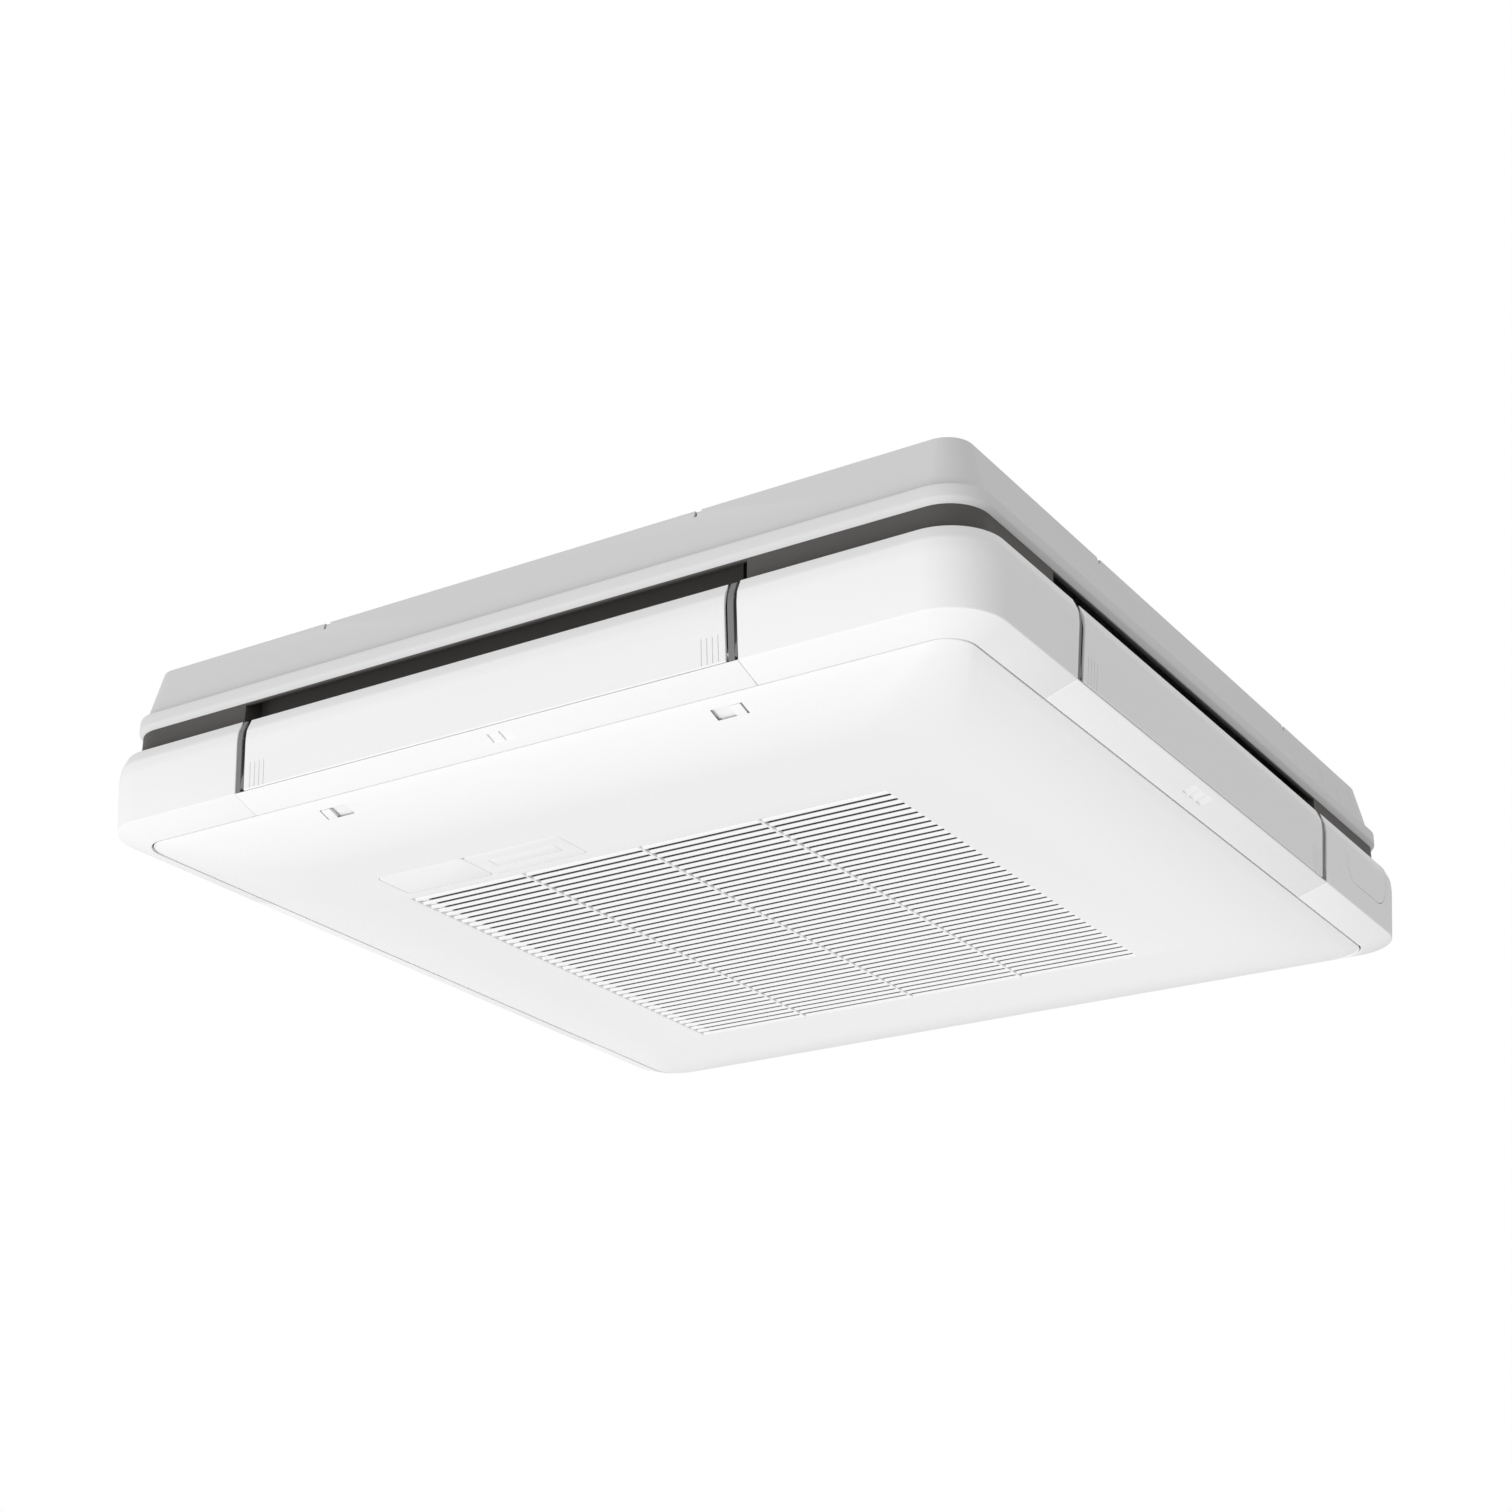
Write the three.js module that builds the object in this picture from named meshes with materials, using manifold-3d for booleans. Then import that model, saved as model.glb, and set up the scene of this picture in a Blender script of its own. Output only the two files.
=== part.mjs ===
// Four-way ceiling-suspended air conditioner, in millimetres, +Z up.
// The origin is the centre of the top face, which lies against the ceiling, and the unit hangs to -Z.
// Side 0 looks along -Y, and sides 1 to 3 follow it counter-clockwise seen from above.
import * as THREE from "three";
import { mergeVertices } from "three/addons/utils/BufferGeometryUtils.js";
import Module from "manifold-3d";

const wasm = await Module();
wasm.setup();

// ---------------------------------------------------------------- driving dimensions
const WIDTH = 950; // over the widest line of the lower panel
const HEIGHT = 198; // ceiling to the flat of the suction panel
const FIT = 0.3; // gap between two pieces that seat on each other
const SKIN = 3; // wall of the moulded panels
const CORNER_RADIUS = 80; // plan corner of the widest line
const CORNER_STEPS = 6;
const INNER_STEPS = 3; // the same for pieces inside
const above = (rise) => HEIGHT - rise; // depth of what lies this far above the lowest face
const inside = (inset) => WIDTH / 2 - inset; // distance out of what lies this far inside the widest line

// how far each moulded line lies inside the widest line, and how deep it hangs
const CASING_TOP_INSET = 31;
const SHOULDER = { inset: 19, depth: 50.5 };
const LIP = { inset: 13.5, depth: 69.5 };
const CASING_WALL = 2.5;
const PANEL_TOP = { inset: 6, depth: 93.5 };
const WIDEST_DEPTH = 116.5;
const WALL_FOOT = { inset: 3.7, depth: above(32) };
const SEAM = { inset: 34.3, depth: above(20) };
const SEAM_RADIUS = 31;
const SEAM_GAP = 1.6;

// flaps: the same length on each side, not centred on it
const FLAP_LENGTH = 2 * inside(215);
const FLAP_OFFSETS = [-14, -29, -14, -29];
const SLOT_WIDTH = 10; // open slot between a flap and the corner cover
const FLAP_FOOT_DEPTH = above(34.5);
const PIVOT = { inset: 8, depth: above(39.5) };
const PIVOT_BEAD = 4.1;
const PIN_RADIUS = 2.2;
const PIN_CLEARANCE = 0.3;
// grooves at both ends of a flap
const GRIPS = { count: 4, pitch: 5.5, width: 1.2, height: 21.5, start: 7, room: 24.9 };

// ramp-shaped marks on two rims and notches in the casing's top edge: where they start along each side
const RIM_MARKS = [[-3.5, 9], [-55.5, -41.5, -26.5]];
const RIM_MARK = { length: 12, depth: 1.8, inset: 11.5, width: 11.5 };
const EDGE_NOTCHES = [[-216, 194], [-193, 222], [-216, 194], [-193, 222]];

// suction panel and its grille
const BULGE_REACH = 95;
const EDGE_RISE = 8; // height of the panel's edge above the seam
const GRILLE = { x0: -259, x1: 259, y0: -237, y1: 254, rows: 44, columns: 4 };
const GRILLE_DEPTH = 9;
const RIB = 5; // divider between two columns of slots
const SLOT_OPENING = 4.9;
const SLOT_LEAN = 6; // how far a slot leans towards +Y on its way up
const SLOT_END_DRAFT = 4;
const COVER_BOX = { x0: -260, x1: -48.5, y0: -301, y1: -252, split: -158 };
const BADGE = { length: 74, width: 14, thick: 0.6, x: -102.5, y: -276 };
const INLAY = 1.5;
const LATCH = { length: 31, width: 13.5, depth: 2.4, knob: 10.5, proud: 0.7, stop: 1.5, inset: 52.5 };
const LATCH_XS = [-203.75, 217];
const FILTER = { border: 8, rib: 2.4, sheet: 1, thick: 5, bays: 4 };
const HINGE_XS = [-250, 250];
const HINGE_BACK = 0.2; // how far a lug's neck reaches behind its pin, which the open panel clears
const HINGE = { inset: 50, depth: above(21), pin: 1.3, eye: 2.5, neck: 3.7, lug: 4, rib: 3, gap: 0.8 };

// inner frame
const FRAME_FLAT = { inset: 13, depth: above(39.5), thick: 3 };
const FRAME_INNER = 344;
const BAND_WALL = 3;
const BAND_INSET = SHOULDER.inset - 1.3;
const WINDOW_TOP = 70;
const WINDOW_FOOT = above(43);

// top plate, hangers and foam
const PLATE = 1.5;
const BOLT_PITCH = 2 * inside(115);
const BOLT_ROOM = 16; // from a bolt to the cut-away in the corner of the top plate
const HANGER = { width: 44, drop: 24, sheet: 3, flange: 30, tongue: 45, slot: 12, slotDepth: 30 };
const FOAM_FLOOR = 12;
const FOAM_HOLE = 95;

// fan
const FAN_RADIUS = 205;
const BLADES = 7;
const BLADE_INNER = 116;
const EYE_RADIUS = 140;
const FAN_TOP = 22;
const SHROUD_TOP = above(100);
const SHROUD_DROP = 32;
const SHEET = 2.5;
const SHAFT_RADIUS = 6;
const MOTOR = { radius: 62, flange: 80, flangeTop: 9, flangeThick: 3, foot: 60 };
const CUSHIONS = 3;
const CUSHION_CIRCLE = 70;
const HUB = { top: 70, foot: 86 };

// coil, drain pan and bell mouth
const COIL = { inner: 248, outer: 292, foot: above(66.3), gap: 215 };
const PAN = { inner: 238, outer: 350, floor: above(66), foot: above(48), rim: above(80), wall: 6 };
const SUMP = { x0: 291, x1: 352, y0: inside(135), y1: inside(29) };
const PUMP = { inset: 36, height: 12, neck: 9, body: 25 };
const BELL_HALF = 245;
const THROAT = { radius: 133.5, top: above(72), flare: 44, sheet: 2 };
const BOX = { x: 150, y0: -341.5, y1: -250, depth: 29, wall: 2 };

// pipe ends beside the knock-out of the corner cover
const PIPE_END_INSET = 20;
const LIQUID = { radius: 4.76, nut: 12.7, y: inside(161), depth: above(64) };
const GAS = { radius: 7.94, nut: 16.7, y: inside(133), depth: above(82) };
const DRAIN = { radius: 13, y: inside(92), depth: above(68) };
const PUMP_NOZZLE = 30;
const PUMP_OUTLET = -76;
const KNOCKOUT = { y0: inside(181), y1: inside(73), foot: above(53), radius: 24, gap: 0.5 };

// ---------------------------------------------------------------- worked-out sizes
const HALF = WIDTH / 2;
const line = (inset, depth) => [HALF - inset, -depth];
const FRAME_TOP = -FRAME_FLAT.depth;
const FRAME_FOOT = FRAME_TOP - FRAME_FLAT.thick;
const PAN_FOOT = -PAN.foot;
const BELL_TOP = PAN_FOOT - FIT;
const PANEL_EDGE = HALF - SEAM.inset - SEAM_GAP;
const PIVOT_AT = line(PIVOT.inset, PIVOT.depth);
const PIPE_END = HALF - PIPE_END_INSET;
const PUMP_AT = [(SUMP.x0 + SUMP.x1) / 2 - 2, SUMP.y1 - PUMP.inset];
const flapStart = (side) => FLAP_OFFSETS[side] - FLAP_LENGTH / 2;
const flapEnd = (side) => FLAP_OFFSETS[side] + FLAP_LENGTH / 2;

// depth of the suction panel's outer face at a half-size, flat in the middle and parabolic to its edge
function bulge(half) {
  const t = Math.min(1, (PANEL_EDGE - half) / BULGE_REACH);
  return -SEAM.depth - (HEIGHT - SEAM.depth) * (1 - (1 - t) ** 2);
}

// ---------------------------------------------------------------- finishes
const FINISHES = {
  panel: { color: 0xf2f2f2, roughness: 0.42, metalness: 0 },
  casing: { color: 0xdcdde0, roughness: 0.5, metalness: 0 },
  band: { color: 0x4c4847, roughness: 0.6, metalness: 0 },
  greyPlastic: { color: 0x7a7a7a, roughness: 0.6, metalness: 0 },
  steel: { color: 0xb4b8bb, roughness: 0.35, metalness: 1 },
  foam: { color: 0xe6e7e4, roughness: 0.95, metalness: 0 },
  ductFoam: { color: 0x3d3b3a, roughness: 0.95, metalness: 0 },
  fins: { color: 0xb9c0c4, roughness: 0.45, metalness: 1 },
  copper: { color: 0xb87148, roughness: 0.35, metalness: 1 },
  brass: { color: 0xc2a25a, roughness: 0.35, metalness: 1 },
  darkPlastic: { color: 0x2d2f31, roughness: 0.7, metalness: 0 },
  rubber: { color: 0x1b1b1b, roughness: 0.9, metalness: 0 },
  board: { color: 0x1f5a3a, roughness: 0.6, metalness: 0 },
  mesh: { color: 0x34373a, roughness: 0.8, metalness: 0 },
  badge: { color: 0xf6f6f6, roughness: 0.3, metalness: 0 },
};

// ---------------------------------------------------------------- solid helpers
function solid(geometry) {
  geometry.deleteAttribute("normal");
  geometry.deleteAttribute("uv");
  const merged = mergeVertices(geometry, 1e-4);
  const triVerts = new Uint32Array(merged.index.array);
  const vertProperties = new Float32Array(merged.attributes.position.array);
  const made = new wasm.Manifold(new wasm.Mesh({ numProp: 3, vertProperties, triVerts }));
  return made.volume() < 0 ? solid(flipped(merged)) : made;
}

function flipped(geometry) {
  const index = geometry.index.array;
  for (let i = 0; i < index.length; i += 3) [index[i + 1], index[i + 2]] = [index[i + 2], index[i + 1]];
  return geometry;
}

function geometryOf(made) {
  const mesh = made.getMesh();
  return new THREE.BufferGeometry()
    .setAttribute("position", new THREE.BufferAttribute(new Float32Array(mesh.vertProperties), 3))
    .setIndex(new THREE.BufferAttribute(new Uint32Array(mesh.triVerts), 1));
}

const join = (...solids) => solids.reduce((a, b) => a.add(b));
const cut = (from, ...tools) => tools.reduce((a, b) => a.subtract(b), from);

function moved(made, matrix) {
  return solid(geometryOf(made).applyMatrix4(matrix));
}

const shift = (x, y, z) => new THREE.Matrix4().makeTranslation(x, y, z);

// a quarter turn about Z for each side
function onSide(made, side) {
  return moved(made, new THREE.Matrix4().makeRotationZ((side * Math.PI) / 2));
}

function box(x0, x1, y0, y1, z0, z1) {
  const geometry = new THREE.BoxGeometry(x1 - x0, y1 - y0, z1 - z0);
  return solid(geometry.translate((x0 + x1) / 2, (y0 + y1) / 2, (z0 + z1) / 2));
}

// a cylinder along Z, or along the direction given
function rod(radius, from, to, sides = 24) {
  const a = new THREE.Vector3(...from);
  const b = new THREE.Vector3(...to);
  const axis = b.clone().sub(a);
  const geometry = new THREE.CylinderGeometry(radius, radius, axis.length(), sides);
  const turn = new THREE.Quaternion().setFromUnitVectors(new THREE.Vector3(0, 1, 0), axis.normalize());
  return solid(geometry.applyQuaternion(turn).translate(...a.add(b).multiplyScalar(0.5).toArray()));
}

// a profile of [radius, z] turned about Z; it starts and ends on the axis, or closes on itself
function turned(profile, segments = 22) {
  const points = profile.map(([r, z]) => new THREE.Vector2(r, z));
  if (profile[0][0] > 0) points.push(points[0].clone());
  return solid(new THREE.LatheGeometry(points, segments).rotateX(Math.PI / 2));
}

// a plan outline of [x, y] raised from z0 to z1
function raised(outline, z0, z1) {
  const shape = new THREE.Shape(outline.map(([x, y]) => new THREE.Vector2(x, y)));
  const geometry = new THREE.ExtrudeGeometry(shape, { depth: z1 - z0, bevelEnabled: false });
  return solid(geometry.translate(0, 0, z0));
}

// a section of [distance out, z] drawn along side 0 from u0 to u1
function alongSide(section, u0, u1) {
  const shape = new THREE.Shape(section.map(([out, z]) => new THREE.Vector2(out, z)));
  const geometry = new THREE.ExtrudeGeometry(shape, { depth: u1 - u0, bevelEnabled: false });
  const basis = new THREE.Matrix4().makeBasis(
    new THREE.Vector3(0, -1, 0),
    new THREE.Vector3(0, 0, 1),
    new THREE.Vector3(-1, 0, 0),
  );
  return solid(geometry.applyMatrix4(basis).translate(u1, 0, 0));
}

// plan loop of a rounded square; its corners share a centre with the widest line unless a radius is given
function squareLoop([half, z, radius = Math.max(4, CORNER_RADIUS - HALF + half)], steps) {
  const points = [];
  for (let corner = 0; corner < 4; corner++)
    for (let step = 0; step <= steps; step++) {
      const angle = ((corner + step / steps) * Math.PI) / 2;
      const quadrant = ((corner + 0.5) * Math.PI) / 2;
      const centre = (half - radius) * Math.SQRT2;
      points.push([
        centre * Math.cos(quadrant) + radius * Math.cos(angle),
        centre * Math.sin(quadrant) + radius * Math.sin(angle),
        z,
      ]);
    }
  return points;
}

// skins between following loops; the last joins the first, or flat caps close the two ends
function loft(loops, closed) {
  const count = loops[0].length;
  const index = [];
  const spans = closed ? loops.length : loops.length - 1;
  for (let i = 0; i < spans; i++)
    for (let j = 0; j < count; j++) {
      const [a, b] = [i * count + j, i * count + ((j + 1) % count)];
      const [c, d] = [a, b].map((v) => (v + count) % (loops.length * count));
      index.push(a, b, d, a, d, c);
    }
  const last = (loops.length - 1) * count;
  if (!closed)
    for (let j = 1; j < count - 1; j++) index.push(0, j + 1, j, last, last + j, last + j + 1);
  const geometry = new THREE.BufferGeometry();
  geometry.setAttribute("position", new THREE.Float32BufferAttribute(loops.flat(2), 3));
  return solid(geometry.setIndex(index));
}

const squareLoft = (levels, steps, closed) => loft(levels.map((level) => squareLoop(level, steps)), closed);
const squareRing = (section, steps = CORNER_STEPS) => squareLoft(section, steps, true);
const squareBlock = (levels, steps = CORNER_STEPS) => squareLoft(levels, steps, false);

// a round bar along a smooth path
function tube(radius, points, steps, sides = 10) {
  const curve = new THREE.CatmullRomCurve3(points.map((p) => new THREE.Vector3(...p)), false, "centripetal");
  const ring = Array.from({ length: sides }, (_, i) => {
    const angle = (i / sides) * 2 * Math.PI;
    return new THREE.Vector2(radius * Math.cos(angle), radius * Math.sin(angle));
  });
  return solid(new THREE.ExtrudeGeometry(new THREE.Shape(ring), { steps, extrudePath: curve }));
}

// a rectangle with round corners as plan points
function roundedRectangle(x0, x1, y0, y1, radius, steps = 4) {
  const corners = [[x1 - radius, y1 - radius], [x0 + radius, y1 - radius],
    [x0 + radius, y0 + radius], [x1 - radius, y0 + radius]];
  return corners.flatMap(([x, y], corner) =>
    Array.from({ length: steps + 1 }, (_, step) => {
      const angle = ((corner + step / steps) * Math.PI) / 2;
      return [x + radius * Math.cos(angle), y + radius * Math.sin(angle)];
    }),
  );
}

// ---------------------------------------------------------------- lower panel sections
// the curved chamfer from the panel's top edge out to its widest line
function chamfer(steps = 4) {
  return Array.from({ length: steps + 1 }, (_, i) => {
    const t = i / steps;
    const inset = PANEL_TOP.inset * (1 - t) ** 2;
    return line(inset, PANEL_TOP.depth + (WIDEST_DEPTH - PANEL_TOP.depth) * t);
  });
}

const RIM_SLOPE = (SEAM.depth - WALL_FOOT.depth) / (SEAM.inset - WALL_FOOT.inset);
const rimDepth = (inset, below = 0) => -(WALL_FOOT.depth + (inset - WALL_FOOT.inset) * RIM_SLOPE) + below;

// section of a corner cover: chamfer, wall, rim, and the web that stands on the frame's underside
function cornerSection() {
  const web = FRAME_FLAT.inset + 3.5;
  const webTop = FRAME_FOOT - FIT;
  return [
    ...chamfer(),
    line(WALL_FOOT.inset, WALL_FOOT.depth - 2),
    line(WALL_FOOT.inset + 1.6, WALL_FOOT.depth + 0.6),
    [...line(SEAM.inset, SEAM.depth), SEAM_RADIUS + SEAM_GAP],
    [...line(SEAM.inset, SEAM.depth - SKIN - 0.6), SEAM_RADIUS + SEAM_GAP],
    [HALF - web - SKIN, rimDepth(web + SKIN, SKIN)],
    [HALF - web - SKIN, webTop],
    [HALF - web, webTop],
    [HALF - web, rimDepth(web, SKIN)],
    line(WALL_FOOT.inset + SKIN, WALL_FOOT.depth - SKIN),
    line(SKIN, WIDEST_DEPTH),
    line(PANEL_TOP.inset + SKIN - 0.5, PANEL_TOP.depth + 3),
  ];
}

// section of a side rim, which stops short of the flap's foot
function rimSection() {
  const web = FRAME_FLAT.inset + 3.5;
  const webTop = FRAME_FOOT - FIT;
  const step = HALF - PIVOT_AT[0] + 1.4;
  return [
    [HALF - step, rimDepth(step)],
    line(SEAM.inset, SEAM.depth),
    line(SEAM.inset, SEAM.depth - SKIN - 0.6),
    [HALF - web - SKIN, rimDepth(web + SKIN, SKIN)],
    [HALF - web - SKIN, webTop],
    [HALF - web, webTop],
    [HALF - web, rimDepth(web, SKIN)],
    [HALF - step - 2, rimDepth(step, SKIN)],
    [HALF - step, rimDepth(step, SKIN + 0.8)],
  ];
}

// section of a flap: skin with a round bead about its pivot along the lower edge
function flapSection() {
  const [out, z] = PIVOT_AT;
  const bead = [0, 1, 2, 3, 4].map((i) => {
    const angle = Math.PI * (1.42 - 0.2 * i);
    return [out + PIVOT_BEAD * Math.cos(angle), z + PIVOT_BEAD * Math.sin(angle)];
  });
  const drop = [0, -0.7];
  return [
    ...chamfer().map(([h, level]) => [h + drop[0], level + drop[1]]),
    line(WALL_FOOT.inset, FLAP_FOOT_DEPTH - 1.2),
    line(WALL_FOOT.inset + 1.4, FLAP_FOOT_DEPTH),
    line(WALL_FOOT.inset + SKIN, FLAP_FOOT_DEPTH),
    ...bead,
    [HALF - WALL_FOOT.inset - SKIN - 0.2, z + PIVOT_BEAD + 2],
    line(SKIN, WIDEST_DEPTH),
    line(PANEL_TOP.inset + SKIN - 0.8, PANEL_TOP.depth + 3.5),
  ];
}

// ---------------------------------------------------------------- sub-parts
// sheet whose corners are cut away, so that a hand reaches the suspension nuts
function topPlate() {
  const half = HALF - CASING_TOP_INSET - CASING_WALL - FIT;
  const near = BOLT_PITCH / 2 - BOLT_ROOM;
  return join(box(-half, half, -near, near, -PLATE, 0), box(-near, near, -half, half, -PLATE, 0));
}

function upperCasing() {
  const top = HALF - CASING_TOP_INSET;
  const ring = squareRing([
    [top, 0],
    line(SHOULDER.inset, SHOULDER.depth),
    line(LIP.inset + 1.8, SHOULDER.depth + 0.8),
    line(LIP.inset + 0.3, SHOULDER.depth + 2.6),
    line(LIP.inset, LIP.depth - 1.4),
    line(LIP.inset + 1.4, LIP.depth),
    line(BAND_INSET - FIT, LIP.depth),
    line(BAND_INSET - FIT, SHOULDER.depth + 3.5),
    line(SHOULDER.inset + CASING_WALL + 0.3, SHOULDER.depth + 2.5),
    [top - CASING_WALL, 0],
  ]);
  const notches = EDGE_NOTCHES.flatMap((along, side) => along.map((u) =>
    onSide(box(u - 3, u + 3, -HALF, -HALF + 40, -7, 1), side)));
  return cut(ring, ...notches);
}

function foamLiner() {
  const wallTop = HALF - CASING_TOP_INSET - CASING_WALL - 2;
  const top = -PLATE - FIT;
  const ring = squareRing([
    [FOAM_HOLE + 60, top, 60],
    [wallTop, top],
    line(SHOULDER.inset + CASING_WALL + 1.5, SHOULDER.depth),
    line(BAND_INSET + BAND_WALL + 1.6, SHOULDER.depth + 4.5),
    line(BAND_INSET + BAND_WALL + 7, SHOULDER.depth + 4.5),
    line(48, 34),
    line(80, 19),
    [COIL.outer + 8, -FOAM_FLOOR],
    [FOAM_HOLE + 60, -FOAM_FLOOR, 60],
  ], INNER_STEPS);
  const centre = squareBlock([[FOAM_HOLE + 61, top, 60], [FOAM_HOLE + 61, -FOAM_FLOOR, 60]], INNER_STEPS);
  const hole = rod(FOAM_HOLE, [0, 0, -FOAM_FLOOR - 1], [0, 0, 0], 24);
  const pockets = [0, 1, 2, 3].map((side) => {
    const at = BOLT_PITCH / 2;
    const room = HANGER.width / 2 + 3;
    return onSide(box(at - room, at + room, -at - 30, -at + 2 * BOLT_ROOM + HANGER.flange, -60, 0), side);
  });
  const pump = box(SUMP.x0 - 2, SUMP.x1 + 2, SUMP.y0 + 30, SUMP.y1 + 2, -60, 0);
  return cut(join(ring, centre), hole, ...pockets, pump);
}

// Z-shaped bracket under the top plate; its slot opens outwards so that the unit slips onto its bolts
function hanger(side) {
  const { width, drop, sheet, flange, tongue, slot, slotDepth } = HANGER;
  const top = -PLATE - FIT;
  const at = BOLT_PITCH / 2;
  const end = at + tongue - slotDepth + slot / 2 + 6;
  const web = end - tongue;
  const bracket = alongSide([
    [web - flange, top], [web, top], [web, sheet - drop], [end, sheet - drop],
    [end, -drop], [web - sheet, -drop], [web - sheet, top - sheet], [web - flange, top - sheet],
  ], at - width / 2, at + width / 2);
  const eye = rod(slot / 2, [at, -at, -drop - 1], [at, -at, sheet - drop + 1], 16);
  const mouth = box(at - slot / 2, at + slot / 2, -end - 1, -at, -drop - 1, sheet - drop + 1);
  return onSide(cut(bracket, eye, mouth), side);
}

// dark ring behind the outlet: a wall with a window for each flap and an opening for the pipes
function outletFrame() {
  const outer = HALF - BAND_INSET;
  const foot = FRAME_TOP + FIT;
  const top = -(SHOULDER.depth + 5.5);
  const wall = squareRing([[outer, top], [outer, foot], [outer - BAND_WALL, foot], [outer - BAND_WALL, top]]);
  const windows = [0, 1, 2, 3].map((side) =>
    onSide(box(flapStart(side) - SLOT_WIDTH - 1, flapEnd(side) + SLOT_WIDTH + 1,
      -outer - 5, -outer + 15, -WINDOW_FOOT, -WINDOW_TOP), side));
  const { y0, y1, foot: low } = KNOCKOUT;
  const pipes = box(outer - 15, outer + 5, y0 + 6, y1, -low - 4, 2 * GAS.radius - GAS.depth);
  const gearboxes = [0, 1, 2, 3].map((side) =>
    onSide(box(flapEnd(side), flapEnd(side) + SLOT_WIDTH, -outer - 5, -outer + 15,
      foot - 1, -WINDOW_FOOT + 1), side));
  return cut(wall, ...windows, ...gearboxes, pipes);
}

function heatExchanger() {
  const top = -FOAM_FLOOR - FIT;
  const ring = squareRing([
    [COIL.inner, top, 26], [COIL.outer, top, 70], [COIL.outer, -COIL.foot, 70], [COIL.inner, -COIL.foot, 26],
  ], INNER_STEPS);
  const far = COIL.outer + 10;
  return cut(ring, box(COIL.gap, far, COIL.gap, far, -COIL.foot - 1, top + 1));
}

// foam tray under the coil, with a channel, an outer slope that turns the air out, and a sump in a corner
function drainPan() {
  const { inner, outer, floor, foot, rim, wall } = PAN;
  const ring = squareRing([
    [inner, -rim, 30], [inner + wall, -rim, 36], [inner + wall, -floor, 36], [COIL.outer + wall, -floor, 84],
    [COIL.outer + wall, -rim + wall, 84], [COIL.outer + 2.4 * wall, -rim + wall, 92],
    [outer, -foot + 4, 120], [outer, -foot, 120], [inner, -foot, 30],
  ], INNER_STEPS);
  const near = COIL.outer - 20;
  const lobe = box(SUMP.x0 - wall, SUMP.x1, COIL.outer + 28, SUMP.y1, -foot, -rim);
  const basin = box(SUMP.x0, SUMP.x1 - wall, SUMP.y0 - 8, SUMP.y1 - wall, -foot + 4, 0);
  const channel = box(near - 10, SUMP.x1 - wall, near, SUMP.y0, -floor, 0);
  return cut(join(ring, lobe), basin, channel);
}

function bellMouth() {
  const { radius, top, flare, sheet } = THROAT;
  const plateFoot = BELL_TOP - SHEET;
  const curve = (offset) => Array.from({ length: 5 }, (_, i) => {
    const angle = (i / 4) * (Math.PI / 2);
    return [
      radius + offset + (flare - offset) * (1 - Math.cos(angle)),
      -top + (plateFoot + top + offset) * Math.sin(angle),
    ];
  });
  const throat = turned([...curve(0), [radius + flare + 6, plateFoot], [radius + flare + 6, BELL_TOP],
    ...curve(sheet).reverse()]);
  const plate = squareBlock([[BELL_HALF, BELL_TOP, 25], [BELL_HALF, plateFoot, 25]], INNER_STEPS);
  const hole = rod(radius + flare + 3, [0, 0, plateFoot - 1], [0, 0, BELL_TOP + 1], 24);
  return join(cut(plate, hole), throat);
}

function fanMotor() {
  const { radius, flange, flangeTop, flangeThick, foot } = MOTOR;
  const flangeFoot = -flangeTop - flangeThick;
  const bore = SHAFT_RADIUS + FIT;
  return turned([
    [0, -flangeTop], [flange, -flangeTop], [flange, flangeFoot], [radius, flangeFoot], [radius, -foot + 14],
    [radius - 8, -foot + 4], [24, -foot], [bore, -foot], [bore, -foot + 18], [0, -foot + 18],
  ]);
}

function motorCushion(index) {
  const angle = (index / CUSHIONS) * 2 * Math.PI;
  const at = [CUSHION_CIRCLE * Math.cos(angle), CUSHION_CIRCLE * Math.sin(angle)];
  return rod(8, [...at, -MOTOR.flangeTop + FIT], [...at, -PLATE - FIT], 14);
}

const motorShaft = () => rod(SHAFT_RADIUS, [0, 0, -HUB.foot - 12], [0, 0, -MOTOR.foot + 18 - FIT], 20);

// level of the shroud's upper face at a radius, a quarter ellipse from the rim down to the eye
function shroudCurve(steps, offset) {
  return Array.from({ length: steps + 1 }, (_, i) => {
    const angle = (i / steps) * (Math.PI / 2);
    return [
      FAN_RADIUS - (FAN_RADIUS - EYE_RADIUS - offset) * Math.sin(angle),
      -SHROUD_TOP - offset - (SHROUD_DROP - offset) * (1 - Math.cos(angle)),
    ];
  });
}

// backward-curved blade as a plan outline, thin at both ends
function bladeOutline(turn) {
  const steps = 4;
  const side = (sign) => Array.from({ length: steps + 1 }, (_, i) => {
    const t = i / steps;
    const radius = BLADE_INNER + (FAN_RADIUS - 2 - BLADE_INNER) * t;
    const angle = turn - 0.72 * t ** 1.25;
    const thick = 0.9 + 2.4 * Math.sin(Math.PI * Math.min(1, t * 0.85 + 0.08));
    const across = angle + (sign * thick) / radius;
    return [radius * Math.cos(across), radius * Math.sin(across)];
  });
  return [...side(1), ...side(-1).reverse()];
}

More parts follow.
